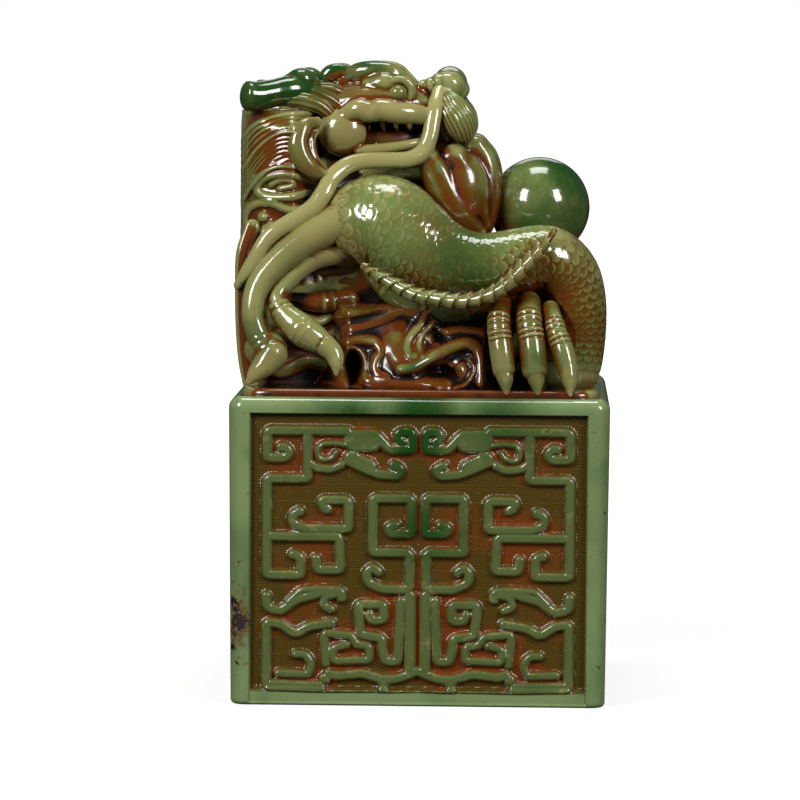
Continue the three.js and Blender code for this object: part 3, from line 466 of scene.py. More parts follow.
@functools.lru_cache(maxsize=None)
def stone_density():
    """How much stone stands near each point of the knob, on a grid of 1 mm cells: the forms are filled with
    points, each cell that holds one counts, and the counts are averaged over about 7 mm."""
    cells = np.zeros((96, 96, 90), np.float32)
    solids = [tube(table, radius, 14, 0.8 * MM) for table, radius in (
        (BODY, BODY_RADIUS), (ARM, LIMB_RADIUS), (INNER_ARM, LIMB_RADIUS), (WHISKER, WHISKER_RADIUS),
        (far_side(WHISKER), WHISKER_RADIUS), (HORN, HORN_RADIUS), (far_side(HORN), HORN_RADIUS),
        (BACK_BODY, BODY_RADIUS), (TAIL, BODY_RADIUS), (HIND_LEG, LIMB_RADIUS), (FAR_LEG, LIMB_RADIUS),
        (LIP, FACE_RADIUS), (far_side(LIP), FACE_RADIUS), (EAR, LOCK_RADIUS), (BEARD_A, LOCK_RADIUS * 1.3),
        (BEARD_B, LOCK_RADIUS * 1.3), (SIDE_WAVE, SCROLL_RADIUS), (BELLY, BODY_RADIUS), (RIDGE, RIDGE_RADIUS))]
    solids += [tube(table, TOE_RADIUS, 14, 0.8 * MM) for table in TOES]
    solids += [hull(SKULL, 60, 0.9 * MM), hull(CORE, 120, 0.9 * MM), egg(PEARL, [PEARL_RADIUS] * 3)]
    for grid in solids:
        middle = grid.mean(axis=1, keepdims=True)
        for share in np.linspace(0.05, 1, 14):
            spots = (middle + (grid - middle) * share).reshape(-1, 3)
            index = np.floor((spots - [-0.048, -0.048, BLOCK_TOP - 0.006]) / MM).astype(int)
            index = np.clip(index, 0, np.array(cells.shape) - 1)
            cells[tuple(index.T)] = 1
    cells[:, :, :6] = 1
    for axis in range(3):
        for _ in range(2):
            total = np.cumsum(cells, axis=axis)
            cells = (np.roll(total, -3, axis) - np.roll(total, 4, axis)) / 7
            cells = np.clip(cells, 0, 1)
    return cells


def hollow_at(points, normals):
    """How shut in each point is, from 0 to 1: the stone's density a little way out from the surface."""
    spots = points + normals * 2.6 * MM
    index = np.floor((spots - [-0.048, -0.048, BLOCK_TOP - 0.006]) / MM).astype(int)
    cells = stone_density()
    index = np.clip(index, 4, np.array(cells.shape) - 5)
    return cells[tuple(index.T)]


GREEN_SPOTS = [[-34, -18, 127, 7, 1.0], [-24, -14, 129, 6, 0.9], [-11, -12, 136, 6, 1.1], [6, -28, 96, 10, 0.75],
               [12, -31, 88, 8, 0.8], [16, -28, 84, 6, 0.6], [33, 0, 112, 9, 1.0], [-33, -32, 76, 7, 0.8],
               [-20, -10, 132, 5, 0.7], [0, -33, 68, 6, 0.7], [25, -36, 74, 5, 0.5], [6, -8, 131, 4, 0.5],
               [0, -40, 62, 9, 0.8], [18, -40, 62, 12, 0.6], [-15, -40, 62, 8, 0.4], [0, -40, 37, 9, 0.8],
               [-2, -40, 52, 6, 0.7], [-30, 0, 127, 14, 0.5], [0, 30, 88, 12, 0.7], [30, 20, 80, 10, 0.5]]


def green_at(points):
    """Where the stone is deep green, from 0 to 1, as soft patches at chosen places in millimetres."""
    total = np.zeros(len(points))
    for x, y, z, reach, weight in GREEN_SPOTS:
        away = ((points / MM - [x, y, z]) ** 2).sum(axis=1)
        total += weight * np.exp(-away / (2 * (reach * 0.6) ** 2))
    return np.clip(total, 0, 1)


# Blender objects from surfaces


def faces_of(rings, around, start):
    """Quads between neighbouring rings, and a fan at both ends."""
    ring = np.arange(rings - 1)[:, None]
    side = np.arange(around)[None, :]
    follow = (side + 1) % around
    quads = np.stack([ring * around + side, ring * around + follow, (ring + 1) * around + follow,
                      (ring + 1) * around + side], axis=-1).reshape(-1, 4) + start
    foot, crown = start + rings * around, start + rings * around + 1
    side = side[0]
    fan_a = np.stack([foot + 0 * side, follow[0] + start, side + start], axis=-1)
    base = start + (rings - 1) * around
    fan_b = np.stack([crown + 0 * side, base + side, base + follow[0]], axis=-1)
    return quads, np.vstack([fan_a, fan_b])


# Materials


class Wire:
    """A node's output, used in sums: each sum on values adds one Math node."""

    def __init__(self, recipe, socket):
        self.recipe = recipe
        self.socket = socket

    def maths(self, operation, other, swap=False):
        values = [other, self] if swap else [self, other]
        return self.recipe.node("ShaderNodeMath", {"operation": operation}, dict(enumerate(values)))

    def __add__(self, other):
        return self.maths("ADD", other)

    def __sub__(self, other):
        return self.maths("SUBTRACT", other)

    def __rsub__(self, other):
        return self.maths("SUBTRACT", other, swap=True)

    def __mul__(self, other):
        return self.maths("MULTIPLY", other)

    __radd__ = __add__
    __rmul__ = __mul__


class Recipe:
    """The nodes of one material, added from the first to the last."""

    def __init__(self, name, slot=""):
        self.material = bpy.data.materials.new(name)
        self.material.use_nodes = True
        self.material["slot"] = slot
        self.tree = self.material.node_tree
        self.tree.nodes.clear()

    def node(self, kind, settings=None, sockets=None, out=0):
        made = self.tree.nodes.new(kind)
        for key, value in (settings or {}).items():
            setattr(made, key, value)
        for key, value in (sockets or {}).items():
            if isinstance(value, Wire):
                self.tree.links.new(value.socket, made.inputs[key])
            else:
                made.inputs[key].default_value = value
        return Wire(self, made.outputs[out])

    def field(self, name):
        return self.node("ShaderNodeAttribute", {"attribute_name": name}, out="Fac")

    def noise(self, scale, detail=4.0, distortion=0.0):
        sockets = {"Vector": self.spot(), "Scale": scale, "Detail": detail, "Distortion": distortion}
        return self.node("ShaderNodeTexNoise", {}, sockets)

    def spot(self):
        return self.node("ShaderNodeTexCoord", out="Object")

    def step(self, value, low, high):
        """0 below low, 1 above high and a smooth S between."""
        sockets = {"Value": value, "From Min": low, "From Max": high}
        return self.node("ShaderNodeMapRange", {"interpolation_type": "SMOOTHSTEP"}, sockets)

    def mix(self, share, first, second):
        colours = [(*c, 1) if isinstance(c, tuple) else c for c in (first, second)]
        return self.node("ShaderNodeMix", {"data_type": "RGBA"}, {0: share, 6: colours[0], 7: colours[1]}, out=2)

    def bump(self, height, distance, strength=1.0):
        return self.node("ShaderNodeBump", {}, {"Height": height, "Distance": distance, "Strength": strength})

    def surface(self, sockets):
        shader = self.node("ShaderNodeBsdfPrincipled", {}, sockets)
        self.tree.links.new(shader.socket, self.tree.nodes.new("ShaderNodeOutputMaterial").inputs["Surface"])
        return self.material


def tint(code):
    """A colour written as six hexadecimal digits, as linear shares of red, green and blue."""
    shares = np.array([int(code[k : k + 2], 16) for k in (0, 2, 4)]) / 255
    return tuple(np.where(shares > 0.04045, ((shares + 0.055) / 1.055) ** 2.4, shares / 12.92))


# For each slot: the material's name, how much greener it is, how much further it goes towards russet and painted shade,
# and its roughness
LOOKS = {
    "green_jade": ("polished_green_stone", 0.4, 0.0, 0.13),
    "pale_jade": ("polished_pale_stone", 0.0, 0.0, 0.14),
    "olive_jade": ("polished_olive_stone", 0.12, 0.1, 0.18),
    "russet_stone": ("polished_russet_stone", 0.0, 0.26, 0.17),
    # The dark stone goes so far towards shade that most of it turns nearly black: painted shade for the deep recesses.
    "dark_stone": ("dark_red_stone_painted_shade", 0.0, 0.3, 0.3),
}


@functools.lru_cache(maxsize=None)
def stone(slot):
    """The stone of the knob: pale or deep green where it stands out, then olive and russet with how shut in it is, and
    nearly black painted shade where it is most shut in. Grooves are darkened with painted shade and ridges paled with
    painted light, all broken up by two sizes of cloudy noise."""
    finish = bpy.context.scene.seal_stone
    name, greener, deeper, roughness = LOOKS[slot]
    r = Recipe(name, slot)
    cloud = r.noise(60, 3, 0.4)
    vein = r.noise(190, 5, 1.2)
    grain = r.noise(1400, 3)
    # Painted light and shade from how far a point stands out of the skin around it: creases darker, ridges paler.
    wear = r.field("wear")
    green = r.step(r.field("green") + (cloud - 0.5) * 1.3 + greener, 0.0, 1.0)
    # depth adds the russet and painted shade of shut-in places to the painted shade of creases; ridges lessen it.
    depth = r.field("hollow") + (vein - 0.5) * 0.3 + deeper - wear * 0.1
    jade = r.mix(r.step(r.noise(75, 3, 0.3), 0.35, 0.72), tuple(finish.celadon), tuple(finish.tan))
    jade = r.mix(r.field("paler"), jade, tuple(finish.cream))
    jade = r.mix(green, jade, tuple(finish.deep))
    # Painted light: ridges turn cream, as do some pale veins.
    jade = r.mix(r.step(vein * 0.5 + wear * 0.2, 0.25, 0.5) * (1 - green * 0.85) * 0.6, jade, tuple(finish.cream))
    colour = r.mix(r.step(depth, 0.2, 0.4), jade, tuple(finish.olive))
    colour = r.mix(r.step(depth, 0.38, 0.56), colour, tuple(finish.russet))
    # Painted shade: the most shut-in places turn nearly black.
    colour = r.mix(r.step(depth, 0.62, 0.88), colour, tuple(finish.shadow))
    rough = (grain - 0.5) * 0.1 + roughness + r.step(depth, 0.5, 0.9) * 0.1
    normal = r.bump(grain + vein * 2, 0.03 * MM, 0.6)
    coat = 0.1 if slot == "dark_stone" else 0.4
    return r.surface({"Base Color": colour, "Roughness": rough, "Normal": normal, "IOR": 1.55,
                      "Coat Weight": coat, "Coat Roughness": 0.04})


@functools.lru_cache(maxsize=None)
def block_stone():
    """The block's frame and shoulders: pale green at the left, deeper along the top, with hairline cracks, chips
    along its upright edges and a pitted russet patch low on the left."""
    finish = bpy.context.scene.seal_stone
    r = Recipe("polished_block_stone", "green_jade")
    cloud = r.noise(45, 4, 0.8)
    vein = r.noise(240, 6, 1.5)
    grain = r.noise(1500, 3)
    chip = r.noise(620, 4, 0.4)
    edge = r.field("edge")
    pit = r.field("pit")
    green = r.field("green") + (cloud - 0.5) * 1.3 + 0.25
    jade = r.mix(r.step(green, 0.1, 0.95), tuple(finish.pale), tuple(finish.deep))
    jade = r.mix(r.step(vein, 0.6, 0.85) * 0.3, jade, tuple(finish.cream))
    chipped = r.step(chip + edge * 0.07 + pit * 0.24, 0.72, 0.8)
    colour = r.mix(r.step(r.field("hollow") + (vein - 0.5) * 0.3, 0.35, 0.6), jade, tuple(finish.russet))
    colour = r.mix(r.step(chip + pit * 0.4, 0.62, 0.86) * 0.85, colour, tuple(finish.russet))
    colour = r.mix(chipped, colour, tuple(finish.shadow))
    rough = (grain - 0.5) * 0.1 + 0.15 + chipped * 0.35
    normal = r.bump(grain * 0.3 - chipped * 4, 0.05 * MM, 0.8)
    return r.surface({"Base Color": colour, "Roughness": rough, "Normal": normal, "IOR": 1.62,
                      "Coat Weight": 0.4, "Coat Roughness": 0.04})


@functools.lru_cache(maxsize=None)
def relief_stone():
    """The relief: green straps, paler at their rims with a painted highlight, over a ground of fine square spirals
    darkened in their grooves with painted shade, russet where straps shut it in. A spiral's height is a triangle wave
    of the distance from its cell's middle, measured as on a chessboard, plus the angle round that middle in turns."""
    finish = bpy.context.scene.seal_stone
    r = Recipe("carved_relief_stone", "olive_jade")
    cell = bpy.context.scene.seal_carving.thread_cell / MM
    flat = r.node("ShaderNodeUVMap", {"uv_map": "panel"})
    parts = r.node("ShaderNodeSeparateXYZ", {}, {0: flat})
    along = Wire(r, parts.socket.node.outputs[0]) * (1 / cell)
    up = Wire(r, parts.socket.node.outputs[1]) * (1 / cell)
    offset = up.maths("FLOOR", 0.0) * 0.5
    x = (along + offset).maths("FRACT", 0.0) - 0.5
    y = up.maths("FRACT", 0.0) - 0.5
    square = x.maths("ABSOLUTE", 0.0).maths("MAXIMUM", y.maths("ABSOLUTE", 0.0)) * 2
    angle = y.maths("ARCTAN2", x) * (1 / TURN)
    thread = (square * 3.3 + angle).maths("FRACT", 0.0)
    thread = (thread - 0.5).maths("ABSOLUTE", 0.0) * 2
    cloud = r.noise(60, 4, 0.8)
    vein = r.noise(300, 5, 1.0)
    grain = r.noise(1500, 3)
    strap, pool, rim = r.field("strap"), r.field("pool"), r.field("rim")
    on_strap = r.step(strap, 0.25, 0.75)
    warm = r.step(pool + (cloud - 0.5) * 0.9 + (vein - 0.5) * 0.35, 0.3, 0.62)
    ground = r.mix(warm, tuple(finish.ground), tuple(finish.amber))
    # Painted shade: the ground darkens towards the shadow colour in the grooves of its spirals.
    ground = r.mix(0.72 + r.step(thread, 0.3, 0.75) * 0.28, tuple(finish.shadow), ground)
    green = r.field("green") + (cloud - 0.5) * 1.1 + 0.12
    jade = r.mix(r.step(green, 0.0, 1.0), tuple(finish.strap), tuple(finish.deep))
    # Pale veins, and a painted highlight along the straps' rims where their rounded edges catch the light.
    jade = r.mix(r.step(vein + rim * 0.16, 0.58, 0.8) * 0.5, jade, tuple(finish.cream))
    colour = r.mix(on_strap, ground, jade)
    rough = (grain - 0.5) * 0.1 + 0.16 + (1 - on_strap) * 0.08
    height = thread * (1 - r.step(strap, 0.0, 0.12)) * 1.3 + grain * 0.16
    normal = r.bump(height, 0.08 * MM, 0.6)
    return r.surface({"Base Color": colour, "Roughness": rough, "Normal": normal, "IOR": 1.62,
                      "Coat Weight": 0.4, "Coat Roughness": 0.05})


# Objects


def new_mesh(name, grids):
    """One mesh of one or more closed surfaces, with every face looking outward."""
    points, quads, fans, start = [], [], [], 0
    for grid in grids:
        grid = grid[:, ::-1] if turned_in(grid) else grid
        rings, around = grid.shape[:2]
        points += [grid.reshape(-1, 3), grid[[0, -1]].mean(axis=1)]
        ring_faces, end_faces = faces_of(rings, around, start)
        quads.append(ring_faces)
        fans.append(end_faces)
        start += rings * around + 2
    points, quads, fans = np.vstack(points), np.vstack(quads), np.vstack(fans)
    mesh = bpy.data.meshes.new(name)
    loops = np.concatenate([quads.ravel(), fans.ravel()])
    sizes = np.concatenate([np.full(len(quads), 4), np.full(len(fans), 3)])
    mesh.vertices.add(len(points))
    mesh.vertices.foreach_set("co", points.ravel())
    mesh.loops.add(len(loops))
    mesh.loops.foreach_set("vertex_index", loops.astype(np.int32))
    mesh.polygons.add(len(sizes))
    mesh.polygons.foreach_set("loop_start", np.concatenate([[0], np.cumsum(sizes)[:-1]]).astype(np.int32))
    mesh.update(calc_edges=True)
    mesh.shade_smooth()
    return mesh


def turned_in(grid):
    """Whether the grid's points run round its rings so that its faces would look inward."""
    middle = grid.mean(axis=1)
    heading = unit(np.gradient(middle, axis=0))
    arm = grid - middle[:, None]
    turn = np.cross(arm, np.roll(arm, -1, axis=1)).sum(axis=1)
    return (turn * heading).sum() < 0


def fused(mesh, voxel, passes):
    """The same forms grown into one skin: a voxel remesh, and a smoothing that rounds the creases between them."""
    ob = bpy.data.objects.new("blank", mesh)
    bpy.context.scene.collection.objects.link(ob)
    remesh = ob.modifiers.new("skin", "REMESH")
    remesh.mode = "VOXEL"
    remesh.voxel_size = voxel
    smooth = ob.modifiers.new("soften", "SMOOTH")
    smooth.factor = 0.5
    smooth.iterations = passes
    skin = bpy.data.meshes.new_from_object(ob.evaluated_get(bpy.context.evaluated_depsgraph_get()))
    bpy.data.objects.remove(ob)
    bpy.data.meshes.remove(mesh)
    skin.shade_smooth()
    return skin


def read_field(source, name, width):
    values = np.zeros(len(source) * width, np.float32)
    source.foreach_get(name, values)
    return values.reshape(-1, width)


def rise_of(mesh, points, normals, passes=(8, 40)):
    """How far each point stands out of the skin around it, near and far: its distance, along its normal, from its
    place after its neighbours' places are averaged again and again, for each of two counts of passes."""
    a, b = read_field(mesh.edges, "vertices", 2).astype(np.int64).T
    count = len(points)
    shares = np.maximum(np.bincount(a, minlength=count) + np.bincount(b, minlength=count), 1)
    soft, found = points.astype(float), []
    for done in range(1, passes[-1] + 1):
        soft = np.stack([(np.bincount(a, column[b], count) + np.bincount(b, column[a], count)) / shares
                         for column in soft.T], axis=1)
        if done in passes:
            rise = ((points - soft) * normals).sum(axis=1)
            found.append((rise - np.median(rise)) / MM)
    return found


def set_fields(mesh, **fields):
    for name, values in fields.items():
        mesh.attributes.new(name, "FLOAT", "POINT").data.foreach_set("value", np.asarray(values, np.float32))


def piece(name, grids, slot, replaces=(), fuse=0.0, passes=3, deeper=0.0, greener=0.0, paler=0.0):
    """One object of the knob, from one or more closed surfaces, fused into one skin where fuse gives a voxel size.
    deeper, greener and paler are numbers, or functions of the points in millimetres.
    Its mesh carries how shut in each point is, which turns the stone russet and then into painted shade, how green the
    stone is, and how far each point stands out of the skin around it, which paints light on ridges and shade in
    creases."""
    mesh = new_mesh(name, grids)
    if fuse:
        mesh = fused(mesh, fuse, passes)
        mesh.name = name
    points = read_field(mesh.vertices, "co", 3)
    normals = read_field(mesh.vertices, "normal", 3)
    deeper, greener, paler = (share(points / MM) if callable(share) else share for share in (deeper, greener, paler))
    near, far = rise_of(mesh, points, normals)
    # How far each point goes towards russet and then painted shade: more where stone stands near it or it lies sunk,
    # less where it stands out.
    hollow = hollow_at(points, normals) + deeper - np.clip(far / 0.9, -0.3, 0.15)
    # The signed rise near each point, painted as light on ridges and shade in creases.
    set_fields(mesh, hollow=hollow, green=green_at(points) + greener, wear=np.clip(near / 0.05, -1, 1),
               paler=paler + 0 * near)
    return put(name, mesh, stone(slot), replaces)


def put(name, mesh, material, replaces):
    ob = bpy.data.objects.new(name, mesh)
    bpy.context.scene.collection.objects.link(ob)
    mesh.materials.append(material)
    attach(ob, "root")
    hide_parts(*replaces)
    return ob


# The block

# For each face: the way that its width runs, and the way that it looks
FACES = {"front": ((1, 0, 0), (0, -1, 0)), "right": ((0, 1, 0), (1, 0, 0)),
         "back": ((-1, 0, 0), (0, 1, 0)), "left": ((0, -1, 0), (-1, 0, 0))}
OPENING_HALF = 35.6 * MM
OPENING_LOW = 3.2 * MM
OPENING_HIGH = 61.8 * MM
BAND_DEPTH = 0.5 * MM
POCKET = 2.3 * MM


def lean(z):
    """The block's half width at a height: it is a little narrower at the foot."""
    return HALF_WIDTH - FOOT_INSET * (1 - z / BLOCK_TOP)


def block_grid():
    """Rings of a rounded square. Their inset follows a quarter circle at the foot and at the rim, and within each
    opening they are pushed in by the pocket's depth, with a rounded lip."""
    bend = np.linspace(0, np.pi / 2, 7)
    lip = np.array([-0.3, -0.12, 0, 0.06, 0.14, 0.24, 0.34, 0.42, 0.46]) * MM
    foot = np.stack([FOOT_RADIUS * (1 - np.cos(bend)), FOOT_RADIUS * (1 - np.sin(bend))])
    rim = np.stack([BLOCK_TOP - RIM_RADIUS * (1 - np.sin(bend)), RIM_RADIUS * (1 - np.cos(bend))])
    rise = np.concatenate([[1.6 * MM, 2.4 * MM], OPENING_LOW + lip, np.linspace(5 * MM, 60.5 * MM, 42),
                           OPENING_HIGH - lip[::-1], [BLOCK_TOP - RIM_RADIUS]])
    z = np.concatenate([foot[0], rise, rim[0][1:]])
    inset = np.concatenate([foot[1], 0 * rise, rim[1][1:]])
    half = lean(z)
    reach = half - CORNER_RADIUS
    inner = np.concatenate([-OPENING_HALF + lip, np.linspace(-34.6 * MM, 34.6 * MM, 48), OPENING_HALF - lip[::-1]])
    across = np.concatenate([-reach[:, None], np.tile(inner, (len(z), 1)), reach[:, None]], axis=1)
    inside = np.minimum(OPENING_HALF - np.abs(across), OPENING_HIGH - z[:, None])
    round_lip = 1 - np.sqrt(1 - np.clip(inside / (0.46 * MM), 0, 0.999) ** 2)
    depth = POCKET * round_lip
    band = BAND_DEPTH + (POCKET - BAND_DEPTH) * smooth_step(OPENING_LOW, OPENING_LOW + 0.4 * MM, z[:, None])
    depth = np.minimum(depth, band * (z[:, None] > FOOT_RADIUS * 0.5))
    arc = np.linspace(0, np.pi / 2, 11)[None, 1:-1, None]
    sides = []
    for along, out in FACES.values():
        along, out = np.array(along, float), np.array(out, float)
        face = along * across[..., None] + out * (half[:, None] - inset[:, None] - depth)[..., None]
        corner = (along + out) * reach[:, None, None] + (CORNER_RADIUS - inset)[:, None, None] * (
            np.cos(arc) * out + np.sin(arc) * along)
        sides += [face, corner]
    grid = np.concatenate(sides, axis=1)
    grid[..., 2] += z[:, None]
    crown = grid[-1] * np.array([1, 1, 0])
    shrink = np.array([0.93, 0.85, 0.7, 0.5, 0.25])[:, None, None]
    grid = np.concatenate([grid, crown * shrink + np.array([0, 0, BLOCK_TOP])])
    sole = grid[0] * np.array([1, 1, 0])
    return np.concatenate([sole * shrink[::-1], grid])


# The relief's straps on the left half of a panel, as a width share and a path. Paths are in steps of about a
# twentieth of a millimetre, from the panel's left and top edges.
STEP_ACROSS = 71.2 / 1325 * MM
STEP_DOWN = 58.6 / 1095 * MM
PANEL_MIDDLE = 777.5
PANEL_LEVEL = 130
STRAPS = [
    (1.0, [(240, 268), (262, 270), (275, 290), (255, 312), (187, 310), (187, 203), (500, 203)]),
    (2.0, [(530, 240), (590, 240)]),
    (1.5, [(515, 312), (585, 345)]),
    (1.0, [(560, 215), (610, 215), (665, 275), (752, 275), (752, 205), (700, 205), (690, 230), (715, 245)]),
    (1.0, [(345, 225), (345, 392), (187, 392), (187, 772), (320, 772), (320, 700), (290, 690)]),
    (1.0, [(205, 620), (470, 620), (475, 750), (385, 750), (380, 705)]),
    (1.0, [(425, 512), (405, 500), (398, 475), (505, 475), (505, 588), (330, 588), (290, 570), (285, 535), (315, 520)]),
    (1.0, [(500, 320), (560, 345), (620, 372), (695, 378), (712, 350), (680, 335)]),
    (0.7, [(540, 300), (520, 262), (450, 250), (395, 255), (380, 290), (400, 320), (440, 310), (455, 285)]),
    (0.9, [(355, 330), (380, 350), (440, 355), (475, 335)]),
    (1.0, [(690, 572), (660, 580), (668, 605), (750, 605), (750, 467), (600, 467), (600, 680), (735, 680)]),
    (1.0, [(745, 690), (745, 825), (640, 825), (585, 800), (575, 760), (600, 738), (622, 755)]),
    (1.1, [(748, 850), (748, 1150)]),
    (1.0, [(712, 870), (700, 1110), (655, 1110), (640, 1060), (640, 1020), (555, 1005), (545, 885), (645, 885),
           (645, 945), (600, 950), (590, 925)]),
    (1.0, [(770, 1150), (700, 1178), (645, 1182), (645, 1215)]),
    (1.0, [(645, 1182), (560, 1158), (460, 1170), (430, 1160)]),
    (1.1, [(413, 1180), (417, 1180)]),
    (1.0, [(400, 1210), (187, 1205), (187, 960), (240, 965), (300, 1005), (350, 975), (440, 960)]),
    (0.9, [(235, 1160), (350, 1165), (365, 1120), (340, 1085), (300, 1085)]),
    (0.9, [(420, 1120), (410, 1000), (520, 1010), (540, 1045), (590, 1050), (590, 1105), (450, 1110), (445, 1060),
           (500, 1045)]),
    (1.0, [(185, 855), (190, 900), (240, 915), (300, 870), (370, 850), (430, 830), (480, 835), (480, 860)]),
    (0.8, [(270, 880), (320, 830), (430, 825)]),
    (0.9, [(440, 905), (405, 890), (420, 850), (470, 845)]),
]


def round_corners(points, reach=17, steps=5):
    """Each corner of a path gives way to a curve that starts and ends within reach of it."""
    points = np.array(points, float)
    if len(points) < 3:
        return points
    corner = points[1:-1]
    before, after = points[:-2] - corner, points[2:] - corner
    share = [np.minimum(reach / np.linalg.norm(way, axis=1, keepdims=True), 0.5) for way in (before, after)]
    start, end = corner + before * share[0], corner + after * share[1]
    t = np.linspace(0, 1, steps)[None, :, None]
    curve = start[:, None] * (1 - t) ** 2 + 2 * corner[:, None] * t * (1 - t) + end[:, None] * t**2
    return np.vstack([points[:1], curve.reshape(-1, 2), points[-1:]])


def strap_profile(away, half):
    """A strap's height share at a distance from its middle line: flat on top, with a smooth S down at its edges."""
    return smooth_step(half + 0.1 * EDGE_ROUND, half - 0.9 * EDGE_ROUND, away)


@functools.lru_cache(maxsize=None)
def relief_map():
    """The relief over one panel: places across and up, and at each the strap's height share, how close its rim is,
    and how much straps shut in the ground there."""
    across = np.linspace(-OPENING_HALF, OPENING_HALF, 321)
    up = np.linspace(OPENING_LOW - 0.25 * MM, OPENING_HIGH, 257)
    left = across[: len(across) // 2 + 1]
    x, z = np.meshgrid(left, up)
    strap = np.zeros_like(x)
    for share, path in STRAPS:
        half = STRAP_HALF * share
        path = round_corners(path)
        spots = np.stack([(path[:, 0] - PANEL_MIDDLE) * STEP_ACROSS,
                          OPENING_HIGH - (path[:, 1] - PANEL_LEVEL) * STEP_DOWN], axis=1)
        away = np.full_like(x, np.inf)
        for (x0, z0), (x1, z1) in zip(spots[:-1], spots[1:]):
            run = max((x1 - x0) ** 2 + (z1 - z0) ** 2, 1e-12)
            t = np.clip(((x - x0) * (x1 - x0) + (z - z0) * (z1 - z0)) / run, 0, 1)
            away = np.minimum(away, np.hypot(x - x0 - t * (x1 - x0), z - z0 - t * (z1 - z0)))
        strap = np.maximum(strap, strap_profile(away, half))
    strap = np.concatenate([strap, strap[:, -2::-1]], axis=1)
    mask = (strap > 0.5).astype(float)
    for axis in (0, 1):
        for _ in range(2):
            total = np.cumsum(np.pad(mask, [(12, 12) if k == axis else (0, 0) for k in (0, 1)], mode="edge"), axis)
            mask = (np.take(total, np.arange(24, total.shape[axis]), axis)
                    - np.take(total, np.arange(0, total.shape[axis] - 24), axis)) / 24
            mask = mask[: len(up), : len(across)]
    # rim peaks on a strap's rounded edge, where the material paints a highlight.
    rim = np.exp(-((strap - 0.75) ** 2) / 0.02)
    return across, up, strap, rim, mask


def relief_panel(side):
    """A panel of relief in its opening: rings up the panel, each the carved face from left to right and then the
    flat back. The face lies at the ground's depth less the strap's rise, and the ground comes forward at the foot."""
    across, up, strap, rim, shut = relief_map()
    along, out = (np.array(way, float) for way in FACES[side])
    ground = BAND_DEPTH + (RECESS - BAND_DEPTH) * smooth_step(OPENING_LOW, OPENING_LOW + 0.9 * MM, up)[:, None]
    rise = bpy.context.scene.seal_carving.strap_rise
    depth = np.maximum(ground - rise * strap, 0.12 * MM)
    depth = np.concatenate([depth, np.full((len(up), 2), POCKET + 0.1 * MM)], axis=1)
    wide = np.concatenate([across, across[[-1, 0]]])
    grid = along * wide[None, :, None] + out * (lean(up)[:, None] - depth)[..., None]
    grid[..., 2] += up[:, None]
    name = f"relief_{side}"
    mesh = new_mesh(f"{name}_carving", [grid])
    points = read_field(mesh.vertices, "co", 3)
    pad = ((0, 0), (0, 2))
    fields = {key: np.concatenate([np.pad(value, pad).ravel(), [0, 0]])
              for key, value in {"strap": strap, "rim": rim, "pool": shut}.items()}
    set_fields(mesh, green=green_at(points), **fields)
    flat = np.stack([points @ along / MM, points[:, 2] / MM], axis=1)
    corners = read_field(mesh.loops, "vertex_index", 1).astype(np.int64)[:, 0]
    mesh.uv_layers.new(name="panel").data.foreach_set("uv", flat[corners].astype(np.float32).ravel())
    return put(f"{name}_carving", mesh, relief_stone(), [name])


# Grids that several pieces use


def mirrored(grid):
    return grid * np.array([1, -1, 1])


def pair(grid):
    return [grid, mirrored(grid)]


def cone(root, tip, radius):
    """A tooth: from a root to a tip, both in shares, narrowing to a point."""
    root, tip = np.array(root, float), np.array(tip, float)
    rows = [[*(root + (tip - root) * t), w] for t, w in ((0, 1), (0.4, 0.85), (0.75, 0.55), (1, 0.15))]
    return tube(rows, radius, 12, 0.3 * MM)


def between(first, second, count):
    """Tables evenly between two tables of the same length, for a fan of strands."""
    first, second = np.array(first, float), np.array(second, float)
    return [first + (second - first) * t for t in np.linspace(0, 1, count)]


def mane_depth(points):
    """The combed upper part of the mane is browner than its curls."""
    return 0.36 * smooth_step(109, 113, points[:, 2]) - 0.06


def bed_depth(points):
    """The bed of clouds is brown, with a green hill in its middle."""
    hill = np.exp(-(((points[:, 0] + 3) / 5) ** 2) - ((points[:, 2] - 76) / 5) ** 2)
    return 0.5 - 0.4 * hill


def ledge_depth(points):
    """The ledge is russet in its middle and green at its ends."""
    return 0.42 - 0.7 * smooth_step(33, 37, np.abs(points[:, 0]))


def rolling(grid):
    """Rolling folds of cloud round the core: bands that rise and fall, each swelling to a rounded edge."""
    x, y, z = np.moveaxis(grid / MM, -1, 0)
    phase = (z / 7.5 + 0.5 * np.sin(x / 6.5 + 0.8) + 0.45 * np.sin(y / 6) + 0.2 * np.sin((x + z) / 3.4)) % 1
    return 1.5 * MM * (np.sqrt(phase) * smooth_step(1.0, 0.9, phase) - 0.6)


def haunch_depth(points):
    """The body browns towards the haunch."""
    return 0.04 + 0.2 * smooth_step(20, 29, points[:, 0])


def tip_pale(points):
    """The claws pale towards the block."""
    return 0.55 * smooth_step(79, 70, points[:, 2])


def lip_pale(points):
    """The upper lip and the cheeks are the palest part of the head."""
    level = smooth_step(116, 120, points[:, 2]) * smooth_step(127.5, 125.5, points[:, 2])
    return 0.5 * level * smooth_step(12, 16, np.abs(points[:, 1]))


def head_depth(points):
    """The head is browner below its lips, and pale at the forehead."""
    return -0.1 + 0.4 * smooth_step(118.2, 115.4, points[:, 2])


def pearl_depth(points):
    """The pearl is browner in its lower half."""
    return -0.12 + 0.36 * smooth_step(109, 99, points[:, 2])


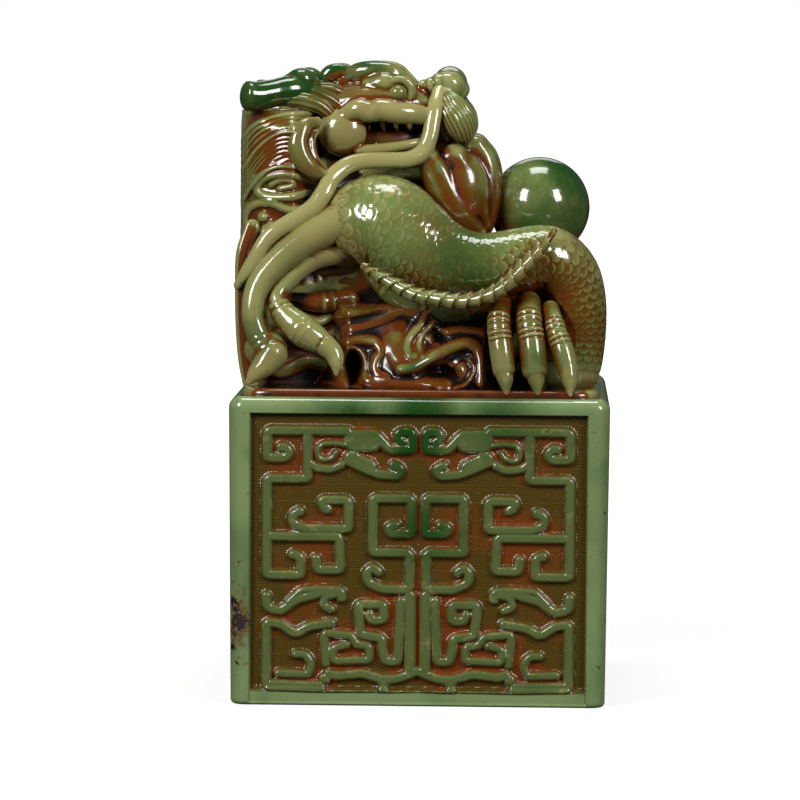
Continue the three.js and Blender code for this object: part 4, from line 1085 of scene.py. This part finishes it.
def body_detail(along, turn, size):
    """Scales on the back and sides, and broad plates across the belly, which is the limb's inner side. On the
    haunch the belly comes round to the front."""
    carving = bpy.context.scene.seal_carving
    start = 0.6 - 0.75 * smooth_step(50 * MM, 66 * MM, along)
    belly = smooth_step(start, start + 0.12, np.sin(turn)) * smooth_step(30 * MM, 36 * MM, along)
    scaly = scales(carving.scale_pitch, carving.scale_width, carving.scale_rise)(along, turn, size)
    phase = (along / (4.4 * MM) + 0.35 * np.cos(turn) ** 2) % 1
    plate = 0.3 * carving.scale_rise * (0.4 - np.exp(-(((phase - 0.5) / 0.07) ** 2)))
    return scaly * (1 - belly) + plate * belly


# The add-on


def length(name, description, default):
    return bpy.props.FloatProperty(name=name, description=description, default=default, min=0, unit="LENGTH",
                                   precision=5)


def colour(name, description, code):
    return bpy.props.FloatVectorProperty(name=name, description=description, default=tint(code), size=3, min=0,
                                         max=1, subtype="COLOR")


class SealCarving(bpy.types.PropertyGroup):
    """Sizes of the carving"""

    scale_pitch: length("Scale length", "Distance between rows of scales", 1.45 * MM)
    scale_width: length("Scale width", "Width of one scale", 2.6 * MM)
    scale_rise: length("Scale rise", "How far a scale's edge stands out", 0.24 * MM)
    strap_rise: length("Strap rise", "How far the relief's straps stand out of their ground", STRAP_RISE)
    thread_cell: length("Thread cell", "Width of one square spiral of the relief's ground", 3.6 * MM)


class SealStone(bpy.types.PropertyGroup):
    """Colours of the stone"""

    deep: colour("Deep green", "Stone of the horns and shoulders", "1a4414")
    pale: colour("Pale green", "Stone of the block's frame", "7f9361")
    # Cream also paints light: on ridges of the knob and on the relief's strap rims.
    cream: colour("Cream", "Pale clouds and worn ridges", "a09a62")
    celadon: colour("Celadon", "Stone of the raised forms of the knob", "6e7e44")
    tan: colour("Tan", "Warm clouds in the raised forms", "70582a")
    olive: colour("Olive", "Stone just below the raised forms", "60440f")
    russet: colour("Russet", "Stone in the hollows", "6a320c")
    # Painted shade: this nearly black colour stands for the shade in the knob's deepest cavities and in the grooves of
    # the relief's spirals; on the block it also colours the chips.
    shadow: colour("Dark red", "Stone in the deepest cavities", "120602")
    strap: colour("Strap green", "Straps of the relief", "5c683a")
    ground: colour("Ground", "Ground of the relief", "55420a")
    amber: colour("Amber", "Ground that straps shut in", "7a3a08")


class SealMaker:
    bl_options = {"REGISTER", "UNDO"}


class SEAL_OT_block(SealMaker, bpy.types.Operator):
    """Make the block with its four openings"""

    bl_idname = "seal.block"
    bl_label = "Block"

    def execute(self, context):
        mesh = new_mesh("block_skin", [block_grid()])
        points = read_field(mesh.vertices, "co", 3) / MM
        away = np.abs(points)
        edge = np.exp(-((np.hypot(away[:, 0] - 39, away[:, 1] - 39) / 1.6) ** 2))
        low_left = np.exp(-(((points[:, 0] + 38) / 3) ** 2) - ((points[:, 2] - 17) / 7) ** 2) * (points[:, 1] < 0)
        top = smooth_step(64.5, 65.0, points[:, 2]) * (away[:, :2].max(axis=1) < 38)
        set_fields(mesh, green=green_at(points * MM), edge=edge, pit=low_left, hollow=top * 0.62)
        put("block_skin", mesh, block_stone(), ["block"])
        return {"FINISHED"}


class SEAL_OT_relief(SealMaker, bpy.types.Operator):
    """Make the strapwork relief of the four faces"""

    bl_idname = "seal.relief"
    bl_label = "Relief"

    def execute(self, context):
        for side in FACES:
            relief_panel(side)
        return {"FINISHED"}


class SEAL_OT_body(SealMaker, bpy.types.Operator):
    """Make the dragon's body, its crests and its tail"""

    bl_idname = "seal.body"
    bl_label = "Body"

    def execute(self, context):
        carving = context.scene.seal_carving
        piece("body_skin", [tube(BODY, BODY_RADIUS, 200, 0.27 * MM, detail=body_detail)], "pale_jade",
              ["body", "haunch"], deeper=haunch_depth)
        piece("belly_skin", [tube(BELLY, BODY_RADIUS, 72, 0.3 * MM, detail=knuckled((8, 16, 24, 32), 0.12, 0.5))],
              "olive_jade", greener=0.2)
        piece("ridge_plates", [tube(RIDGE, RIDGE_RADIUS, 32, 0.15 * MM, flat=1.3,
                                    detail=plated(2.7 * MM, 0.42 * MM))], "pale_jade", ["ridge"])
        scaly = scales(carving.scale_pitch, carving.scale_width, carving.scale_rise)
        back = (0, 1, 0)
        piece("back_skin", [tube(BACK_BODY, BODY_RADIUS, 150, 0.3 * MM, (0, 0.4, 1), detail=scaly)], "pale_jade",
              ["back_body"])
        piece("tail_skin", [tube(TAIL, BODY_RADIUS, 130, 0.3 * MM, back, detail=scaly)], "pale_jade", ["tail"])
        piece("tail_brush", [tube(t, LOCK_RADIUS * 0.75, 24, 0.3 * MM, (-1, 0, 0), detail=combed(8, 0.14))
                             for t in between(TAIL_FIN, np.array(TAIL_FIN) + [0.0, -0.04, 0.05, 0], 3)],
              "pale_jade", ["tail_fin"])
        piece("crest_plates", [tube(BACK_CREST, LIMB_RADIUS, 48, 0.2 * MM, (-0.3, 1, 0.2),
                                    detail=plated(4.5 * MM, 1.0 * MM))], "pale_jade", ["back_crest"])
        # The core in the middle of the knob is dark stone: painted shade for its deep recess.
        piece("inner_stone", [hull(CORE, 200, 0.45 * MM, detail=rolling)], "dark_stone", ["core"], deeper=-0.12)
        return {"FINISHED"}


class SEAL_OT_head(SealMaker, bpy.types.Operator):
    """Make the dragon's head with its mouth, eyes, nose and teeth"""

    bl_idname = "seal.head"
    bl_label = "Head"

    def execute(self, context):
        cheek = egg([-0.435, -0.42, 0.785], [5.2 * MM, 3.4 * MM, 5.2 * MM])
        nose = egg([0.13, 0, 0.93], [3.8 * MM, 9 * MM, 4.0 * MM])
        wing = egg([0.115, -0.22, 0.93], [3.4 * MM, 2.8 * MM, 2.8 * MM])
        socket = tube([[-0.135 + 0.07 * np.cos(a), -0.375 - 0.01 * np.sin(a), 0.912 + 0.034 * np.sin(a), 1.0]
                       for a in np.linspace(-0.4, TURN * 0.96 - 0.4, 14)], 0.9 * MM, 16, 0.3 * MM)
        near = [cheek, wing, socket, tube(LIP, FACE_RADIUS, 36, 0.3 * MM), tube(LIP_UNDER, FACE_RADIUS, 30, 0.3 * MM),
                tube(BROW, FACE_RADIUS, 36, 0.3 * MM), tube(FOREHEAD, FACE_RADIUS, 36, 0.3 * MM),
                tube(SNOUT, FACE_RADIUS, 36, 0.3 * MM, detail=knuckled((2.6, 4.2, 5.8), 0.3, 0.45))]
        piece("head_skin", [hull(SKULL, 80, 0.5 * MM), nose, *near, *(mirrored(g) for g in near)], "pale_jade",
              ["skull", "nose", "cheek_near", "cheek_far", "lip_near", "lip_far", "brow_near", "brow_far"],
              fuse=0.3 * MM, passes=5, deeper=head_depth, paler=lip_pale)
        # The inside of the mouth is dark stone: painted shade.
        piece("mouth_lining", [hull(MOUTH, 60, 0.6 * MM)], "dark_stone", deeper=0.22)
        jaw = tube(CHIN, FACE_RADIUS * 0.8, 36, 0.3 * MM)
        piece("lower_jaw", [*pair(jaw), hull([[-0.4, 0.62, 0.7, 0, 0.36], [0, 0.62, 0.7, 0, 0.32],
                                              [0.26, 0.63, 0.69, 0, 0.14]], 60)],
              "olive_jade", ["jaw_near", "jaw_far"], fuse=0.35 * MM)
        for side, eye in zip(("near", "far"), pair(egg([-0.14, -0.385, 0.906], [1.9 * MM, 1.7 * MM, 1.7 * MM]))):
            piece(f"eyeball_{side}", [eye], "pale_jade", [f"eye_{side}"], deeper=-0.4, greener=-0.9)
        upper = [cone([x, -0.37 - 0.02 * k, 0.815], [x + 0.01, -0.39, 0.79], 0.7 * MM)
                 for k, x in enumerate((-0.3, -0.22, -0.15, -0.08))]
        upper += [cone([0.1, -0.27, 0.82], [0.12, -0.29, 0.755], 1.3 * MM)]
        lower = [cone([x, -0.37, 0.725], [x + 0.005, -0.38, 0.755], 0.9 * MM) for x in (-0.26, -0.18, -0.1, -0.03)]
        lower += [cone([x, y, 0.7], [x, y - 0.005, 0.735], 0.85 * MM)
                  for x, y in ((0.12, -0.24), (0.17, -0.18), (0.21, -0.12), (0.23, -0.04))]
        teeth = upper + lower
        piece("teeth", teeth + [mirrored(g) for g in teeth], "olive_jade")
        return {"FINISHED"}


class SEAL_OT_horns(SealMaker, bpy.types.Operator):
    """Make the horns, the ears and the curl on top of the head"""

    bl_idname = "seal.horns"
    bl_label = "Horns and ears"

    def execute(self, context):
        horn = tube(HORN, HORN_RADIUS * 0.98, 56, 0.25 * MM, end=0.5)
        for side, grid in zip(("near", "far"), pair(horn)):
            piece(f"horn_{side}_skin", [grid], "green_jade", [f"horn_{side}"], greener=0.4)
        piece("horn_prong_skin", pair(tube(PRONG, HORN_RADIUS * 0.72, 36, 0.25 * MM)), "green_jade", ["horn_prong"],
              greener=0.4)
        piece("top_curl_skin", pair(tube(KNOT, FACE_RADIUS * 0.9, 36, 0.25 * MM, detail=furrowed(0.12))),
              "green_jade", ["top_curl"])
        fins = [tube(EAR, LOCK_RADIUS, 44, 0.2 * MM, flat=0.8), tube(EAR_INNER, LOCK_RADIUS, 36, 0.2 * MM, flat=0.6)]
        for side, grids in (("near", fins), ("far", [mirrored(g) for g in fins])):
            piece(f"ear_{side}_skin", grids, "pale_jade", [f"ear_{side}"], fuse=0.25 * MM, passes=1)
        temple = [tube(t, LOCK_RADIUS, 36, 0.22 * MM, detail=combed(9, 0.12)) for t in (TEMPLE_A, TEMPLE_B, TEMPLE_C)]
        piece("temple_hair", temple + [mirrored(g) for g in temple], "olive_jade")
        return {"FINISHED"}


class SEAL_OT_mane(SealMaker, bpy.types.Operator):
    """Make the combed locks and curls behind the head"""

    bl_idname = "seal.mane"
    bl_label = "Mane"

    def execute(self, context):
        strands = [(0.62, 1.5, path) for bunch in STRANDS for path in between(*bunch, 5)]
        wall = carved_wall(strands + MANE_RIDGES, (-39.3, 87.8), (-19, 124.6), mane_face, -6)
        locks = [f"mane_lock_{k}" for k in (1, 2, 3)]
        piece("mane_near_carving", [wall], "pale_jade", [f"{n}_near" for n in locks] + ["mane_curl_1", "mane_curl_2"],
              deeper=mane_depth)
        piece("mane_far_carving", [mirrored(wall)], "pale_jade", [f"{n}_far" for n in locks], deeper=mane_depth)
        piece("side_wave_skin", pair(tube(SIDE_WAVE, SCROLL_RADIUS * 0.9, 40, 0.25 * MM, detail=furrowed(0.3))),
              "pale_jade", ["side_wave"])
        return {"FINISHED"}


class SEAL_OT_whiskers(SealMaker, bpy.types.Operator):
    """Make the whiskers, the moustache and the beard"""

    bl_idname = "seal.whiskers"
    bl_label = "Whiskers and beard"

    def execute(self, context):
        ribbon = tube(WHISKER, WHISKER_RADIUS, 44, 0.25 * MM, flat=0.8)
        for side, grid in zip(("near", "far"), pair(ribbon)):
            piece(f"whisker_{side}_ribbon", [grid], "pale_jade", [f"whisker_{side}"], deeper=-0.25, greener=-0.25, paler=0.9)
        tuft = tube(MOUSTACHE, LOCK_RADIUS, 150, 0.15 * MM, detail=combed(23, 0.07, 0.22, 0.25))
        piece("moustache", pair(tuft), "pale_jade", ["nose_tuft"])
        folds = [tube(t, LOCK_RADIUS * 1.65, 40, 0.25 * MM, detail=combed(5, 0.07)) for t in (BEARD_A, BEARD_B, BEARD_C)]
        roots = pair(egg([0.18, -0.33, 0.605], [6.8 * MM, 5.2 * MM, 9.0 * MM]))
        piece("beard_folds", folds + [mirrored(g) for g in folds] + roots, "olive_jade", ["beard"],
              fuse=0.3 * MM, passes=14, deeper=0.14)
        return {"FINISHED"}


class SEAL_OT_legs(SealMaker, bpy.types.Operator):
    """Make the legs with their toes and claws"""

    bl_idname = "seal.legs"
    bl_label = "Legs"

    def execute(self, context):
        palm = egg([-0.815, -0.78, 0.135], [4.6 * MM, 3.0 * MM, 4.0 * MM])
        grids = [tube(ARM, LIMB_RADIUS, 56, 0.22 * MM, detail=knuckled((35, 36.3), 0.08, 0.4)), palm,
                 tube(ARM_CLAW, CLAW_RADIUS * 1.3, 36, 0.2 * MM)]
        piece("arm_skin", grids, "pale_jade", ["arm", "arm_claw"], fuse=0.24 * MM, passes=4, deeper=-0.08,
              greener=0.1, paler=0.6)
        grids = [tube(INNER_ARM, LIMB_RADIUS, 56, 0.22 * MM, detail=knuckled((19.5, 21, 26.5, 27.8), 0.09, 0.35)),
                 tube(INNER_CLAW, CLAW_RADIUS, 36, 0.2 * MM)]
        piece("inner_arm_skin", grids, "pale_jade", ["inner_arm", "inner_arm_claw"], fuse=0.24 * MM, passes=4,
              deeper=-0.04, paler=0.5)
        piece("back_toe_skin", [tube(BACK_TOE, TOE_RADIUS, 40, 0.25 * MM, detail=knuckled((7, 9), 0.08, 0.5))],
              "russet_stone", ["back_toe"], deeper=0.2)
        for k, (toe, claw) in enumerate(zip(TOES, TOE_CLAWS)):
            folds = knuckled((5.2, 6.2, 8.6, 9.6), 0.2, 0.36)
            grids = [tube(toe, TOE_RADIUS, 48, 0.18 * MM, detail=folds), tube(claw, CLAW_RADIUS, 32, 0.18 * MM)]
            piece(f"toe_{k + 1}_skin", grids, "pale_jade", [f"foot_toe_{k + 1}", f"foot_claw_{k + 1}"],
                  fuse=0.2 * MM, passes=2, deeper=0.04, paler=tip_pale)
        back = (0, 1, 0)
        for name, table in (("hind_leg", HIND_LEG), ("far_leg", FAR_LEG)):
            end = np.array(table[-1])
            toes = [tube([end + [0, -0.02, 0.01, -0.2], end + [shift, 0.06, -0.02, -0.45],
                          end + [shift * 1.2, 0.08, -0.045, -0.8]], LIMB_RADIUS, 28, 0.25 * MM, back)
                    for shift in (-0.07, 0.0, 0.07)]
            piece(f"{name}_skin", [tube(table, LIMB_RADIUS, 48, 0.3 * MM, back), *toes], "pale_jade", [name],
                  fuse=0.35 * MM)
        return {"FINISHED"}


class SEAL_OT_clouds(SealMaker, bpy.types.Operator):
    """Make the cloud scrolls that the dragon rests on"""

    bl_idname = "seal.clouds"
    bl_label = "Clouds"

    def execute(self, context):
        wall = carved_wall(BED_RIDGES, (-23, 65.4), (18, 86.5), bed_face, -8, soft=0.75)
        piece("cloud_bed", [wall], "olive_jade", ["cloud_1", "cloud_2"], deeper=bed_depth)
        deep = carved_wall(DEEP_RIDGES, (-37.5, 65.4), (-12, 92), inner_face, -6)
        # The deep wall between the legs is dark stone: painted shade.
        piece("deep_carving", pair(deep), "dark_stone")
        ledge = rounded_slab(BLOCK_TOP - 0.3 * MM, BLOCK_TOP + 1.6 * MM, 37.7 * MM, 4 * MM, 1.1 * MM)
        piece("ground_ledge", [ledge], "russet_stone", deeper=ledge_depth)
        return {"FINISHED"}


class SEAL_OT_pearl(SealMaker, bpy.types.Operator):
    """Make the pearl that the dragon guards"""

    bl_idname = "seal.pearl"
    bl_label = "Pearl"

    def execute(self, context):
        ball = egg(PEARL, [PEARL_RADIUS] * 3, 128, 96)
        piece("pearl_ball", [ball], "green_jade", ["pearl"], greener=0.12, deeper=pearl_depth)
        return {"FINISHED"}


class SEAL_OT_stage(SealMaker, bpy.types.Operator):
    """Set the floor, the lamps and the camera"""

    bl_idname = "seal.stage"
    bl_label = "Floor, lamps and camera"

    def execute(self, context):
        scene = context.scene
        floor = bpy.data.meshes.new("floor")
        reach = 6.0
        floor.from_pydata([(-reach, -reach, 0), (reach, -reach, 0), (reach, reach, 0), (-reach, reach, 0)], [],
                          [(0, 1, 2, 3)])
        ground = bpy.data.objects.new("floor", floor)
        scene.collection.objects.link(ground)
        r = Recipe("pale_floor")
        seen = r.node("ShaderNodeLightPath", out="Is Camera Ray")
        base = r.node("ShaderNodeBsdfDiffuse", {}, {"Color": (0.4, 0.4, 0.4, 1)})
        apart = r.node("ShaderNodeVectorMath", {"operation": "LENGTH"}, {0: r.spot()}, out="Value")
        glow = r.node("ShaderNodeEmission", {}, {"Color": (1, 1, 1, 1), "Strength": r.step(apart, 0.1, 0.5) * 0.4 + 0.72})
        both = r.node("ShaderNodeAddShader", {}, {0: base, 1: glow})
        dull = r.node("ShaderNodeBsdfDiffuse", {}, {"Color": (0.03, 0.03, 0.03, 1)})
        both = r.node("ShaderNodeMixShader", {}, {0: seen, 1: dull, 2: both})
        r.tree.links.new(both.socket, r.tree.nodes.new("ShaderNodeOutputMaterial").inputs["Surface"])
        floor.materials.append(r.material)
        world = bpy.data.worlds.new("studio")
        scene.world = world
        world.use_nodes = True
        background = world.node_tree.nodes["Background"]
        looks_at = world.node_tree.nodes.new("ShaderNodeLightPath")
        level = world.node_tree.nodes.new("ShaderNodeMapRange")
        level.inputs["To Min"].default_value = 0.06
        world.node_tree.links.new(looks_at.outputs["Is Camera Ray"], level.inputs["Value"])
        world.node_tree.links.new(level.outputs["Result"], background.inputs["Strength"])
        background.inputs["Color"].default_value = (1, 1, 1, 1)
        target = (0, -0.02, 0.08)
        for name, spot, size, power in (("left_box", (-0.62, -0.75, 0.62), (0.3, 0.5), 9.5),
                                        ("right_box", (0.7, -0.68, 0.58), (0.28, 0.46), 7.5),
                                        ("top_box", (0.0, 0.1, 0.95), (0.4, 0.3), 3.0),
                                        ("back_box", (0.0, 0.9, 0.6), (0.5, 0.3), 0.6)):
            lamp = bpy.data.lights.new(name, "AREA")
            lamp.shape = "RECTANGLE"
            lamp.size, lamp.size_y = size
            lamp.energy = power
            ob = bpy.data.objects.new(name, lamp)
            scene.collection.objects.link(ob)
            point_at(ob, spot, target)
        camera = bpy.data.cameras.new("camera")
        camera.sensor_width = 36
        camera.lens = 207.6
        camera.clip_end = 20
        ob = bpy.data.objects.new("camera", camera)
        scene.collection.objects.link(ob)
        point_at(ob, (0.025, -1.0, 0.139), (-0.00397, -0.04, 0.06466), np.radians(0.387))
        scene.camera = ob
        scene.view_settings.view_transform = "Standard"
        return {"FINISHED"}


def point_at(ob, spot, target, roll=0.0):
    """Put a lamp or camera at a spot, looking at a target, turned about its line of sight by roll."""
    way = mathutils.Vector(target) - mathutils.Vector(spot)
    ob.location = spot
    turn = way.to_track_quat("-Z", "Y") @ mathutils.Quaternion((0, 0, 1), roll)
    ob.rotation_euler = turn.to_euler()


STEPS = (SEAL_OT_block, SEAL_OT_relief, SEAL_OT_body, SEAL_OT_head, SEAL_OT_horns, SEAL_OT_mane, SEAL_OT_whiskers,
         SEAL_OT_legs, SEAL_OT_clouds, SEAL_OT_pearl, SEAL_OT_stage)


class SEAL_PT_panel(bpy.types.Panel):
    """The seal's pieces, sizes and colours"""

    bl_idname = "SEAL_PT_panel"
    bl_label = "Dragon seal"
    bl_space_type = "VIEW_3D"
    bl_region_type = "UI"
    bl_category = "Seal"

    def draw(self, context):
        for group in (context.scene.seal_carving, context.scene.seal_stone):
            for name in group.__annotations__:
                self.layout.prop(group, name)
        for step in STEPS:
            self.layout.operator(step.bl_idname)


CLASSES = (SealCarving, SealStone, *STEPS, SEAL_PT_panel)


def register():
    for part in CLASSES:
        bpy.utils.register_class(part)
    bpy.types.Scene.seal_carving = bpy.props.PointerProperty(type=SealCarving)
    bpy.types.Scene.seal_stone = bpy.props.PointerProperty(type=SealStone)


def unregister():
    del bpy.types.Scene.seal_stone
    del bpy.types.Scene.seal_carving
    for part in reversed(CLASSES):
        bpy.utils.unregister_class(part)


def main():
    register()
    for step in STEPS:
        getattr(bpy.ops.seal, step.bl_idname.split(".")[1])()


if __name__ == "__main__":
    main()
